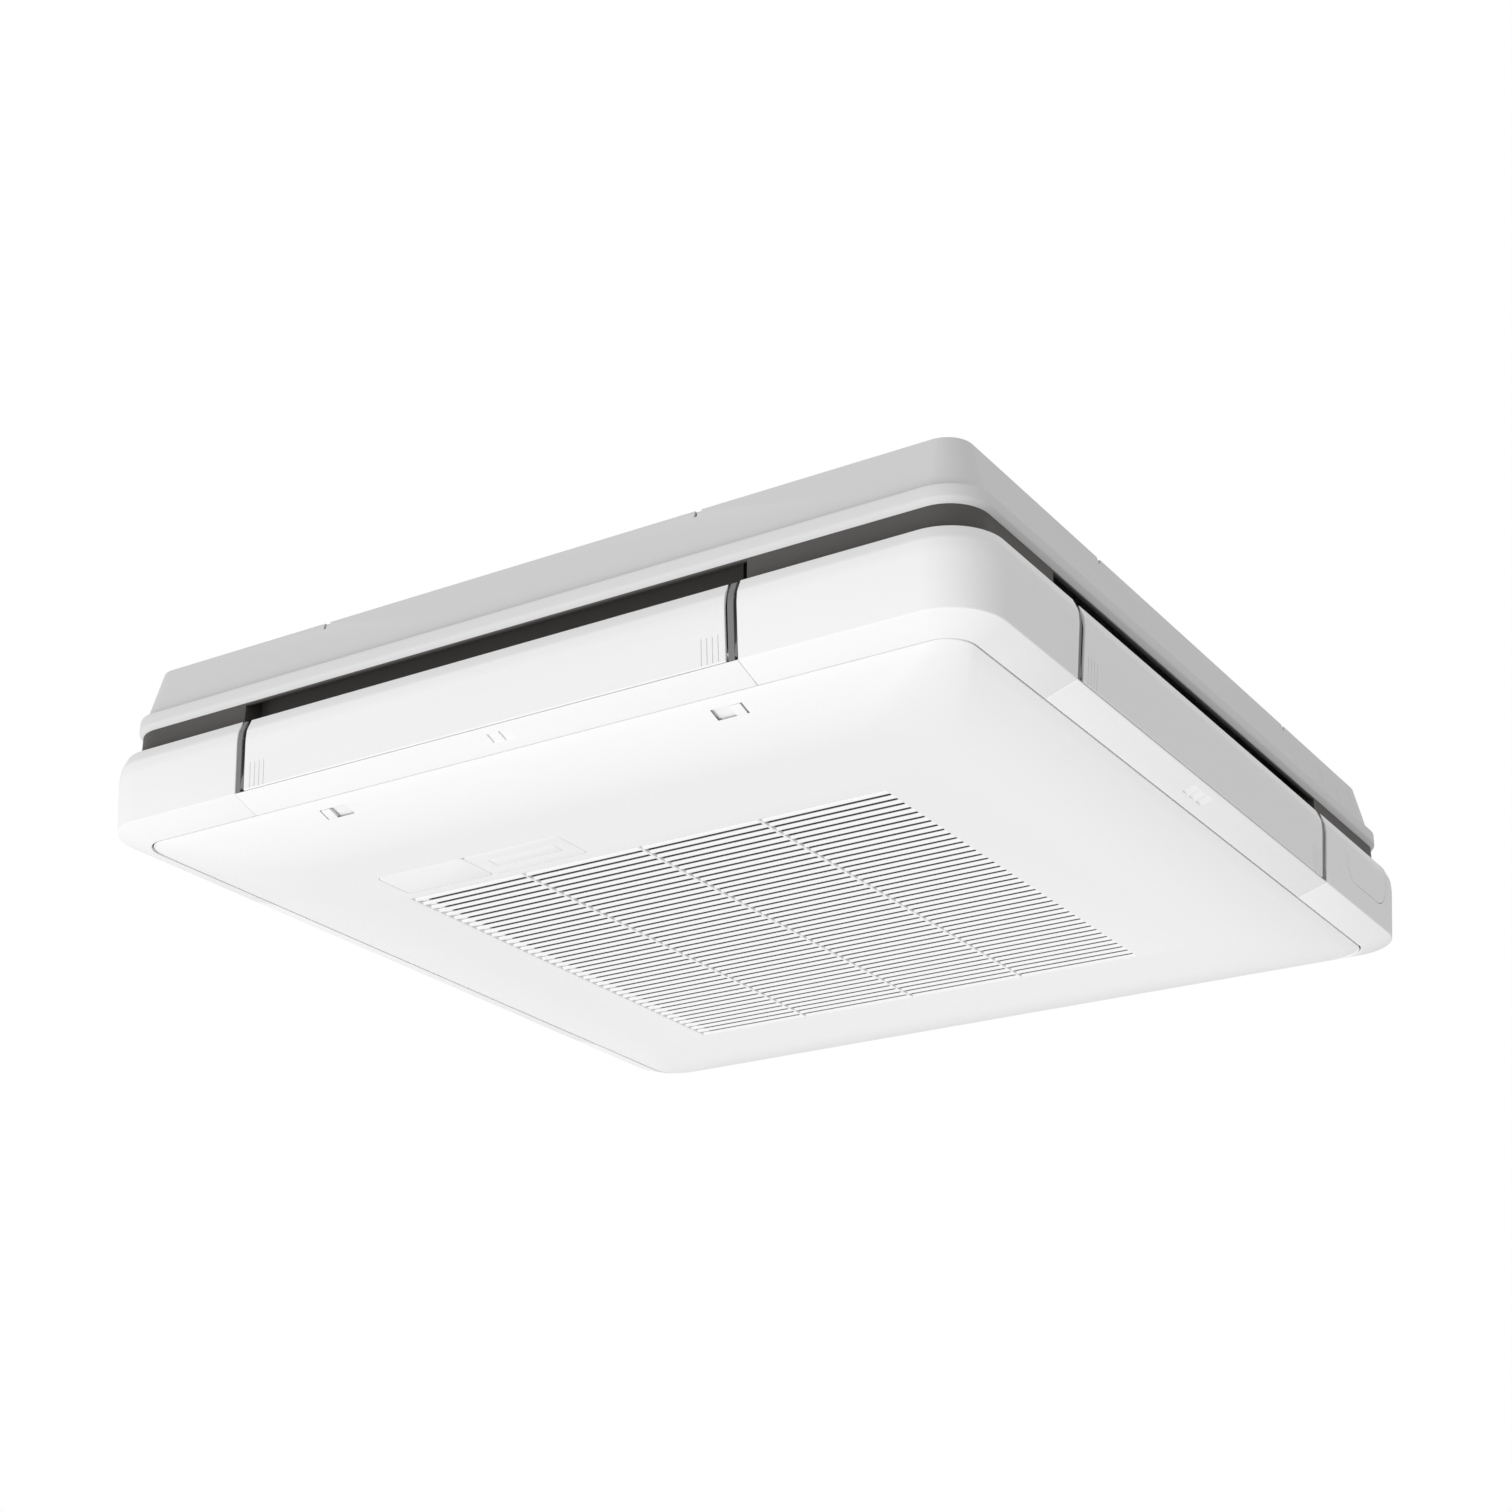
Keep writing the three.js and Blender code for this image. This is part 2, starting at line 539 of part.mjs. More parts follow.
function impeller() {
  const bore = SHAFT_RADIUS + FIT;
  const top = -FAN_TOP;
  const plate = turned([
    [bore, -HUB.top], [27, -HUB.top], [74, -58], [BLADE_INNER - 2, top], [FAN_RADIUS, top],
    [FAN_RADIUS, top - SHEET], [BLADE_INNER, top - SHEET], [77, -61], [29, -HUB.top - 3],
    [16, -HUB.top - 4], [16, -HUB.foot], [bore, -HUB.foot],
  ]);
  const shroud = turned([...shroudCurve(4, 0), ...shroudCurve(4, SHEET).reverse()]);
  const flow = turned([[BLADE_INNER - 16, top - 8], [BLADE_INNER + 2, top - 1], [FAN_RADIUS, top - 1],
    ...shroudCurve(4, SHEET / 2), [EYE_RADIUS - 2, -SHROUD_TOP - 20]]);
  const blades = Array.from({ length: BLADES }, (_, i) =>
    raised(bladeOutline((i / BLADES) * 2 * Math.PI), -HEIGHT, 0));
  return join(plate, shroud, ...blades.map((blade) => blade.intersect(flow)));
}

function fanNut() {
  const bore = SHAFT_RADIUS + FIT;
  const [top, foot] = [-HUB.foot - FIT, -HUB.foot - 9];
  return turned([[bore, top], [14, top], [14, top - 2], [10, top - 2], [10, foot], [bore, foot]], 12);
}

// open-bottomed electrics box under the pan
function controlBox() {
  const { x, y0, y1, depth, wall } = BOX;
  const foot = BELL_TOP - depth;
  return cut(box(-x, x, y0, y1, foot, BELL_TOP), box(-x + wall, x - wall, y0 + wall, y1 - wall, foot - 1,
    BELL_TOP - wall));
}

function controlBoxCover() {
  const { x, y0, y1, depth } = BOX;
  const top = BELL_TOP - depth - FIT;
  const lid = box(-x, x, y0, y1, top - 1.5, top);
  const ribs = [-0.6, 0, 0.6].map((t) => box(t * x - 2, t * x + 2, y0 + 12, y1 - 12, top - 3, top - 1));
  return join(lid, ...ribs);
}

function circuitBoard() {
  const { x, y0, y1, wall } = BOX;
  const roof = BELL_TOP - wall - FIT;
  const board = roof - 6;
  const [b0, b1] = [-x + 10, x - 86];
  const plate = box(b0, b1, y0 + 9, y1 - 9, board - 1.6, board);
  const pegs = [b0 + 6, b1 - 6].flatMap((px) => [y0 + 15, y1 - 15].map((py) =>
    rod(3, [px, py, board - 1], [px, py, roof], 8)));
  const blocks = [
    [-120, -300, 34, 30, 13], [-60, -316, 20, 14, 9], [-20, -300, 26, 22, 11], [30, -290, 22, 34, 8],
  ].map(([cx, cy, w, d, h]) =>
    box(cx - w / 2, cx + w / 2, cy - d / 2, cy + d / 2, board - 1 - h, board - 1));
  const cans = [[-80, -272], [0, -322], [45, -320]].map(([cx, cy]) =>
    rod(6, [cx, cy, board - 15], [cx, cy, board - 1], 8));
  return join(plate, ...pegs, ...blocks, ...cans);
}

function terminalBlock() {
  const { x, y0, y1, wall } = BOX;
  const roof = BELL_TOP - wall - FIT;
  const [cx, cy] = [x - 40, (y0 + y1) / 2];
  const body = box(cx - 15, cx + 15, cy - 34, cy + 34, roof - 16, roof);
  const bays = [0, 1, 2, 3, 4].map((i) =>
    box(cx - 16, cx + 16, cy - 30 + i * 12.6, cy - 20.5 + i * 12.6, roof - 17, roof - 8));
  return cut(body, ...bays);
}

// pump hung from the top plate over the sump
function drainPump() {
  const [cx, cy] = PUMP_AT;
  const { height, neck, body: wide } = PUMP;
  const top = -PLATE - FIT;
  const low = height - PAN.foot;
  const foot = box(cx - 24, cx + 24, cy - 22, cy + 26, top - SKIN, top);
  const body = turned([[0, top - 1], [14, top - 1], [14, -44], [wide, -50], [wide, PUMP_OUTLET - 20],
    [wide - 7, PUMP_OUTLET - 28], [neck, PUMP_OUTLET - 32], [neck, low], [0, low]], 14);
  const nozzle = rod(DRAIN.radius - 3, [cx, cy, PUMP_OUTLET], [cx + PUMP_NOZZLE, cy, PUMP_OUTLET], 12);
  return join(foot, moved(body, shift(cx, cy, 0)), nozzle);
}

function floatSwitch() {
  const floor = -PAN.foot + 4 + FIT;
  const body = turned([[0, floor], [10, floor], [10, floor + 3], [3, floor + 3], [3, floor + 10],
    [9, floor + 10], [9, floor + 24], [3, floor + 24], [3, floor + 34], [0, floor + 34]], 10);
  return moved(body, shift(PUMP_AT[0], SUMP.y0 + 14, 0));
}

function drainPipe() {
  const [cx, cy] = PUMP_AT;
  return tube(DRAIN.radius, [
    [cx + PUMP_NOZZLE + FIT, cy, PUMP_OUTLET], [cx + PUMP_NOZZLE + 18, cy, PUMP_OUTLET],
    [cx + 78, cy - 8, PUMP_OUTLET - 22], [PIPE_END - 34, DRAIN.y, -DRAIN.depth],
    [PIPE_END, DRAIN.y, -DRAIN.depth],
  ], 9);
}

function liquidPipe() {
  const middle = (COIL.inner + COIL.outer) / 2;
  return tube(LIQUID.radius, [
    [middle + 10, COIL.gap + FIT, 38 - LIQUID.depth], [middle + 10, COIL.gap + 34, 36 - LIQUID.depth],
    [middle + 40, LIQUID.y - 28, 22 - LIQUID.depth],
    [PIPE_END - 74, LIQUID.y, -LIQUID.depth], [PIPE_END - 46, LIQUID.y, -LIQUID.depth],
    [PIPE_END, LIQUID.y, -LIQUID.depth],
  ], 11, 8);
}

function gasPipe() {
  const middle = (COIL.inner + COIL.outer) / 2;
  return tube(GAS.radius, [
    [COIL.gap + FIT, middle, 56 - GAS.depth], [COIL.gap + 30, middle, 56 - GAS.depth],
    [middle + 30, middle + 26, 40 - GAS.depth],
    [PIPE_END - 76, GAS.y, -GAS.depth], [PIPE_END - 46, GAS.y, -GAS.depth],
    [PIPE_END, GAS.y, -GAS.depth],
  ], 11);
}

function flareNut({ radius, nut, y, depth }) {
  const body = turned([[0, 0], [nut, 0], [nut, -14], [radius + 3, -24], [0, -24]], 6);
  const ring = cut(body, rod(radius + FIT, [0, 0, -25], [0, 0, 1], 12));
  const lie = new THREE.Matrix4().makeRotationY(Math.PI / 2).premultiply(shift(PIPE_END, y, -depth));
  return moved(ring, lie);
}

// lugs in which the suction panel's pins turn
function hingeLug(x) {
  const y = HALF - HINGE.inset;
  const { pin, eye, neck, lug, depth } = HINGE;
  const post = box(x - lug / 2, x + lug / 2, y + HINGE_BACK - neck, y + HINGE_BACK, -depth, FRAME_TOP - 0.6);
  const ring = rod(eye, [x - lug / 2, y, -depth], [x + lug / 2, y, -depth], 16);
  return cut(join(post, ring), rod(pin + PIN_CLEARANCE, [x - lug, y, -depth], [x + lug, y, -depth], 16));
}

function panelFrame() {
  const outer = HALF - FRAME_FLAT.inset;
  const ring = squareRing([
    [FRAME_INNER, BELL_TOP, 110], [PAN.outer, BELL_TOP, 115], [outer - 26, FRAME_TOP], [outer, FRAME_TOP],
    [outer, FRAME_FOOT], [outer - 26, FRAME_FOOT], [PAN.outer, BELL_TOP - SKIN, 115],
    [FRAME_INNER, BELL_TOP - SKIN, 110],
  ], INNER_STEPS);
  return join(ring, ...HINGE_XS.map(hingeLug));
}

const outsideRim = (side) => [flapStart(side) - SLOT_WIDTH, flapEnd(side) + SLOT_WIDTH];

function sideRim(side) {
  const [from, to] = outsideRim(side);
  const rim = alongSide(rimSection(), from + FIT / 2, to - FIT / 2);
  return onSide(cut(rim, ...(RIM_MARKS[side] ?? []).map(rimMark)), side);
}

// wedge that bites deepest where a mark starts and runs out along the rim
function rimMark(start) {
  const { length, depth, inset, width } = RIM_MARK;
  const end = (u, bite) => [[inset, bite], [inset + width, bite], [inset + width, -SKIN], [inset, -SKIN]].map(
    ([at, below]) => [u, at - HALF, rimDepth(at, below)]);
  return loft([end(start, depth), end(start + length, 0.02)], false);
}

// the panel's moulded corner between two flaps, from this side's right-hand slot to the next side's left
function cornerCover(side) {
  const next = (side + 1) % 4;
  const right = outsideRim(side)[1] + FIT / 2;
  const left = outsideRim(next)[0] - FIT / 2;
  const far = HALF + 10;
  const keep = raised([[right, -far], [far, -far], [far, left], [HALF - 120, left], [HALF - 120, -HALF + 120],
    [right, -HALF + 120]], -HEIGHT, 0);
  const ring = squareRing(cornerSection()).intersect(keep);
  const flange = [
    [HALF - 17, -PANEL_TOP.depth - 4], line(PANEL_TOP.inset + 2.5, PANEL_TOP.depth + 2),
    line(PANEL_TOP.inset - 1, PANEL_TOP.depth + 7), line(1.5, WIDEST_DEPTH),
    line(WALL_FOOT.inset + 1.3, WALL_FOOT.depth - 5), line(FRAME_FLAT.inset - 0.6, WALL_FOOT.depth - 5),
    line(FRAME_FLAT.inset - 0.6, FRAME_FLAT.depth - 1), [HALF - 17, FRAME_TOP + 1],
  ];
  const first = alongSide(flange, right, right + 2.5);
  const second = onSide(alongSide(flange, left - 2.5, left), 1);
  return onSide(join(ring, first, second), side);
}

// U-shaped knock-out in the corner cover beside side 1, as a solid through the wall
function knockout(gap) {
  const { y0, y1, foot, radius } = KNOCKOUT;
  const outline = roundedRectangle(y0 + gap, y1 - gap, -foot + gap, 0, radius, 5).map(([y, z]) => [z, y]);
  const plug = raised(outline, HALF - 14, HALF + 5);
  return moved(plug, new THREE.Matrix4().makeBasis(
    new THREE.Vector3(0, 0, 1), new THREE.Vector3(0, 1, 0), new THREE.Vector3(1, 0, 0)));
}

function flap(side) {
  const [u0, u1] = [flapStart(side) + FIT, flapEnd(side) - FIT];
  const skin = alongSide(flapSection(), u0, u1);
  const [out, z] = PIVOT_AT;
  const reach = SLOT_WIDTH - 1.5;
  const pin = rod(PIN_RADIUS, [u0 - reach, -out, z], [u1 + reach, -out, z], 10);
  const grips = [u0 + GRIPS.start, u1 - GRIPS.room].flatMap((start) =>
    Array.from({ length: GRIPS.count }, (_, i) => {
      const at = start + i * GRIPS.pitch;
      return box(at, at + GRIPS.width, -HALF - 1, -HALF + 4.2, z - 2, z - 2 + GRIPS.height);
    }));
  return onSide(cut(join(skin, pin), ...grips), side);
}

// plate that stands in a slot and carries the flap's pin; its outline is [out, z]
function bearingOutline(inner) {
  const [out, z] = PIVOT_AT;
  const foot = FRAME_TOP + FIT;
  const nose = HALF - FRAME_FLAT.inset + 0.9;
  return [
    ...inner, [HALF - 14, -97], [HALF - 9.5, -97], [HALF - 6.5, -106], [HALF - 6, z + 10.5],
    [out + 3.6, z + 5.5], [out + 3.6, z - 4.4], [nose, z - 4.4], [nose, foot],
  ];
}

function bearing(outline, u0, u1) {
  const [out, z] = PIVOT_AT;
  const hole = rod(PIN_RADIUS + PIN_CLEARANCE, [u0 - 1, -out, z], [u1 + 1, -out, z], 10);
  return cut(alongSide(outline, u0, u1), hole);
}

function flapBushing(side) {
  const u1 = flapStart(side) - 0.7;
  const foot = FRAME_TOP + FIT;
  const inner = HALF - BAND_INSET + FIT;
  return onSide(bearing(bearingOutline([[inner, foot], [inner, -100]]), u1 - 8.6, u1), side);
}

function swingMotor(side) {
  const u0 = flapEnd(side) + 0.7;
  const inner = [[-36, FIT], [-50, 8.5], [-50, 34.5], [-40, 44.5]].map(([h, z]) => [HALF + h, FRAME_TOP + z]);
  const gearbox = bearing(bearingOutline(inner), u0, u0 + 8.6);
  const at = [-HALF + 37, FRAME_TOP + 21.5];
  const can = rod(13, [u0 + 4, ...at], [u0 + 30, ...at], 12);
  return onSide(join(gearbox, can), side);
}

// one leaning opening between two slats, wider at the face than at the back
function grilleSlot(x0, x1, y) {
  const [foot, top] = [-HEIGHT - 0.5, -HEIGHT + GRILLE_DEPTH + 0.5];
  const corners = [[x0, y, foot], [x1, y, foot], [x1, y + SLOT_OPENING, foot], [x0, y + SLOT_OPENING, foot]];
  const upper = corners.map(([x, cy], i) => [x + (i % 3 ? -1 : 1) * SLOT_END_DRAFT, cy + SLOT_LEAN, top]);
  return loft([corners, upper], false);
}

function latchMatrix(x) {
  const half = HALF - LATCH.inset;
  const slope = Math.atan((bulge(half - 1) - bulge(half + 1)) / 2);
  return new THREE.Matrix4().makeRotationX(slope).premultiply(shift(x, -half, bulge(half)));
}

function suctionPanel() {
  const radius = (half) => SEAM_RADIUS + (PANEL_EDGE - half) * 0.55;
  const top = -SEAM.depth + EDGE_RISE;
  const reach = [0.02, 0.2, 0.42, 0.68, 1].map((t) => PANEL_EDGE - t * BULGE_REACH);
  const outer = squareBlock([[PANEL_EDGE, top, SEAM_RADIUS], [PANEL_EDGE, -SEAM.depth + 1.6, SEAM_RADIUS],
    ...reach.map((half) => [half, bulge(half), radius(half)])]);
  const inner = squareBlock([[PANEL_EDGE - SKIN, top + 1, SEAM_RADIUS - SKIN],
    [PANEL_EDGE - SKIN, bulge(PANEL_EDGE - SKIN) + SKIN, SEAM_RADIUS - SKIN],
    ...reach.slice(1).map((half) => [half - SKIN / 2, bulge(half) + SKIN, radius(half)])]);
  const { x0, x1, y0, y1, rows, columns } = GRILLE;
  const pad = box(x0 - 4, x1 + 4, y0 - 4, y1 + 8, -HEIGHT + 1, -HEIGHT + GRILLE_DEPTH);
  const pitch = (y1 - y0) / rows;
  const column = (x1 - x0 + RIB) / columns;
  const slots = [];
  for (let row = 0; row < rows; row++)
    for (let i = 0; i < columns; i++)
      slots.push(grilleSlot(x0 + i * column, x0 + (i + 1) * column - RIB, y0 + row * pitch));
  const pocket = raised(coverOutline(COVER_BOX.x0, COVER_BOX.x1, 0), -HEIGHT - 1, -HEIGHT + INLAY + FIT);
  const latches = LATCH_XS.map((x) => moved(
    box(-LATCH.length / 2, LATCH.length / 2, -LATCH.width / 2, LATCH.width / 2, -4, LATCH.depth),
    latchMatrix(x)));
  return join(cut(join(cut(outer, inner), pad), wasm.Manifold.union(slots), pocket, ...latches,
    ...HINGE_XS.map(hingeNotch)), ...HINGE_XS.map(hingePins));
}

// room in the panel's edge for a hinge lug
function hingeNotch(x) {
  const y = HALF - HINGE.inset;
  const room = HINGE.lug / 2 + HINGE.gap;
  return box(x - room, x + room, y, HALF, -HINGE.depth - HINGE_BACK - FIT, -HINGE.depth + 20);
}

// two ribs on the panel's skin with the pin that passes through a lug
function hingePins(x) {
  const y = HALF - HINGE.inset;
  const near = HINGE.lug / 2 + HINGE.gap;
  const z = -HINGE.depth;
  const outline = [[y - 5, z + 3.5], [PANEL_EDGE - 1, z + 3.5], [PANEL_EDGE - 1, bulge(PANEL_EDGE - 1) + 1],
    [y - 5, bulge(y - 5) + 1]];
  const rib = (from) => onSide(alongSide(outline, -from - HINGE.rib, -from), 2);
  const pin = rod(HINGE.pin, [x - near - 1, y, z], [x + near + 1, y, z], 14);
  return join(rib(x - near - HINGE.rib), rib(x + near), pin);
}

function coverOutline(x0, x1, gap) {
  const { y0, y1 } = COVER_BOX;
  return roundedRectangle(x0 + gap, x1 - gap, y0 + gap, y1 - gap, 6);
}

function inlayCover(x0, x1) {
  const gap = 0.4;
  return raised(coverOutline(x0, x1, gap), -HEIGHT, -HEIGHT + INLAY);
}

function badgeBox(gap) {
  const { length, width, thick, x, y } = BADGE;
  return raised(roundedRectangle(x - length / 2 - gap, x + length / 2 + gap, y - width / 2 - gap,
    y + width / 2 + gap, 1.5, 3), -HEIGHT, -HEIGHT + thick + (gap ? FIT : 0));
}

// filter: a sheet of mesh stiffened by a border and a grid of ribs
function airFilter() {
  const { x0, x1, y0, y1 } = GRILLE;
  const { border, rib, sheet, thick, bays } = FILTER;
  const foot = -HEIGHT + GRILLE_DEPTH + FIT;
  const [wide, deep] = [(x1 - x0 - 2 * border + rib) / bays, (y1 - y0 - 2 * border + rib) / bays];
  const pockets = [];
  for (let i = 0; i < bays; i++)
    for (let j = 0; j < bays; j++) {
      const [x, y] = [x0 + border + i * wide, y0 + border + j * deep];
      pockets.push(box(x, x + wide - rib, y, y + deep - rib, foot + sheet, foot + thick + 1));
    }
  return cut(box(x0, x1, y0, y1, foot, foot + thick), wasm.Manifold.union(pockets));
}

// latch knob, at rest beside the outer end of its recess
function latchKnob(x) {
  const { length, width, depth, knob, proud, stop } = LATCH;
  const centre = Math.sign(x) * (length / 2 - knob / 2 - stop);
  const wide = width / 2 - FIT;
  const body = raised(roundedRectangle(centre - knob / 2, centre + knob / 2, -wide, wide, 1.2, 3), -proud,
    depth - FIT);
  return moved(body, latchMatrix(x));
}

// ---------------------------------------------------------------- the assembly
const part = new THREE.Group();

function add(name, made, finish) {
  const mesh = new THREE.Mesh(geometryOf(made), new THREE.MeshStandardMaterial(FINISHES[finish]));
  mesh.name = name;
  part.add(mesh);
}

const SIDES = [0, 1, 2, 3];
const SIDE_NAMES = ["front", "right", "back", "left"];
const CORNER_NAMES = ["front_right", "back_right", "back_left", "front_left"];

add("top_plate", topPlate(), "steel");
add("upper_casing", upperCasing(), "casing");
add("foam_liner", foamLiner(), "ductFoam");
for (const side of SIDES) add(`hanger_${CORNER_NAMES[side]}`, hanger(side), "steel");
add("outlet_frame", outletFrame(), "band");
add("heat_exchanger", heatExchanger(), "fins");
add("liquid_pipe", liquidPipe(), "copper");
add("gas_pipe", gasPipe(), "copper");
add("liquid_flare_nut", flareNut(LIQUID), "brass");
add("gas_flare_nut", flareNut(GAS), "brass");
add("drain_pan", drainPan(), "foam");
add("drain_pump", drainPump(), "greyPlastic");
add("float_switch", floatSwitch(), "panel");
add("drain_pipe", drainPipe(), "greyPlastic");
add("bell_mouth", bellMouth(), "darkPlastic");
add("fan_motor", fanMotor(), "steel");
for (let i = 0; i < CUSHIONS; i++) add(`motor_cushion_${i + 1}`, motorCushion(i), "rubber");
add("motor_shaft", motorShaft(), "steel");
add("impeller", impeller(), "darkPlastic");
add("fan_nut", fanNut(), "steel");
add("control_box", controlBox(), "steel");
add("control_box_cover", controlBoxCover(), "steel");
add("circuit_board", circuitBoard(), "board");
add("terminal_block", terminalBlock(), "greyPlastic");
add("panel_frame", panelFrame(), "panel");
for (const side of SIDES) add(`side_rim_${SIDE_NAMES[side]}`, sideRim(side), "panel");
for (const side of SIDES) {
  const cover = cornerCover(side);
  add(`corner_cover_${CORNER_NAMES[side]}`, side === 1 ? cut(cover, knockout(0)) : cover, "panel");
  if (side === 1) add("pipe_cover", cover.intersect(knockout(KNOCKOUT.gap)), "panel");
}
for (const side of SIDES) add(`flap_${SIDE_NAMES[side]}`, flap(side), "panel");
for (const side of SIDES) add(`flap_bushing_${SIDE_NAMES[side]}`, flapBushing(side), "greyPlastic");
for (const side of SIDES) add(`swing_motor_${SIDE_NAMES[side]}`, swingMotor(side), "greyPlastic");
add("suction_panel", suctionPanel(), "panel");
add("sensor_cover", inlayCover(COVER_BOX.x0, COVER_BOX.split), "panel");
add("badge_cover", cut(inlayCover(COVER_BOX.split, COVER_BOX.x1), badgeBox(FIT)), "panel");
add("badge_plate", badgeBox(0), "badge");
add("air_filter", airFilter(), "mesh");
LATCH_XS.forEach((x, i) => add(`latch_knob_${["left", "right"][i]}`, latchKnob(x), "panel"));

export default part;
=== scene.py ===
"""Looks of a ceiling-suspended four-way air conditioner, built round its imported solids.

Shapes are written in millimetres in the frame of the solids: the origin lies in the middle of the top
face, +Z points up to the ceiling, side 0 looks along -Y and the other sides follow counter-clockwise.
"""

import logging
import math
from collections.abc import Callable, Iterable, Sequence
from dataclasses import dataclass
from enum import Enum
from typing import Any, NamedTuple

import bmesh
import bpy
from mathutils import Matrix, Vector
from mathutils.geometry import tessellate_polygon


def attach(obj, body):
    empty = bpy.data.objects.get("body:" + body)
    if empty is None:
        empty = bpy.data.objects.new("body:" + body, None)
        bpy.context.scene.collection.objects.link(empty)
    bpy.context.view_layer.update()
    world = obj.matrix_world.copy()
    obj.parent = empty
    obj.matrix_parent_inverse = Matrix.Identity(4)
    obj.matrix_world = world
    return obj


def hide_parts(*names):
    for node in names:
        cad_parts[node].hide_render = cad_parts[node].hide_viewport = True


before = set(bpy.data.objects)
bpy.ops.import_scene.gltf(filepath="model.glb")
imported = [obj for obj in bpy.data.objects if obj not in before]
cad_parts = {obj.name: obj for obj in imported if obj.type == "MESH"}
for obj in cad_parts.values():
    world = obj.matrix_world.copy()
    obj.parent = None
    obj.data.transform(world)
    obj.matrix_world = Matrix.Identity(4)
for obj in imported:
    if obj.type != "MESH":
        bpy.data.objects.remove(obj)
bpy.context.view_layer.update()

MM = 0.001
log = logging.getLogger("air_conditioner")

Flat = tuple[float, float]
Point = tuple[float, float, float]
Colour = tuple[float, float, float]
Box = tuple[float, float, float, float]

SIDES = ("front", "right", "back", "left")
CORNERS = ("front_right", "back_right", "back_left", "front_left")

# sizes shared by the mouldings; PIVOT is an inset from the widest line and a depth under the ceiling
HALF = 475.0
HEIGHT = 198.0
CORNER_RADIUS = 55.0
CORNER_STEPS = 24
FIT = 0.3
SKIN = 3.0
BAND_INSET = 17.7
FLAP_STARTS = (-282.4, -286.9, -282.4, -286.9)
FLAP_LENGTH = 525.8
PIVOT = (8.0, 158.5)


class Body(Enum):
    """The bodies of the solids that a piece can ride on."""

    UNIT = "unit"
    PANEL = "suction_panel"
    LEFT_LATCH = "left_latch"
    RIGHT_LATCH = "right_latch"
    FRONT_FLAP = "front_flap"
    RIGHT_FLAP = "right_flap"
    BACK_FLAP = "back_flap"
    LEFT_FLAP = "left_flap"


class Cut(Enum):
    """What a cutting shape does to a piece."""

    AWAY = "DIFFERENCE"
    KEEP = "INTERSECT"


def placed(name: str, data: bpy.types.ID) -> bpy.types.Object:
    """Returns a linked object of a mesh, lamp or camera."""
    made = bpy.data.objects.new(name, data)
    bpy.context.scene.collection.objects.link(made)
    return made


def line(inset: float, depth: float) -> Flat:
    """Returns the place of a line that lies inset from the widest line at a depth under the ceiling."""
    return HALF - inset, -depth


# ---------------------------------------------------------------- shader maths
def maths(operation: str, swapped: bool = False) -> Callable[["Wire", "Wire | float"], "Wire"]:
    """Makes an operator that adds a Math node.

    Args:
        operation: what the node does.
        swapped: whether the wire comes after the other value.

    Returns:
        The operator.
    """

    def operator(wire: "Wire", other: "Wire | float") -> "Wire":
        """Returns the node's result."""
        pair = (other, wire) if swapped else (wire, other)
        return wire.graph.add("ShaderNodeMath", {"operation": operation}, dict(enumerate(pair)))

    return operator


class Wire:
    """A node's output whose operators add Math nodes, so that shader maths reads as an expression."""

    __add__ = __radd__ = maths("ADD")
    __sub__ = maths("SUBTRACT")
    __rsub__ = maths("SUBTRACT", swapped=True)
    __mul__ = __rmul__ = maths("MULTIPLY")
    __truediv__ = maths("DIVIDE")
    __rtruediv__ = maths("DIVIDE", swapped=True)
    __pow__ = maths("POWER")
    __rpow__ = maths("POWER", swapped=True)
    above = maths("GREATER_THAN")
    least = maths("MINIMUM")
    most = maths("MAXIMUM")
    pingpong = maths("PINGPONG")

    def __init__(self, graph: "Graph", socket: bpy.types.NodeSocket) -> None:
        """Wraps a socket of a graph."""
        self.graph = graph
        self.socket = socket

    def beside(self, name: str) -> "Wire":
        """Returns another output of the same node."""
        return Wire(self.graph, self.socket.node.outputs[name])


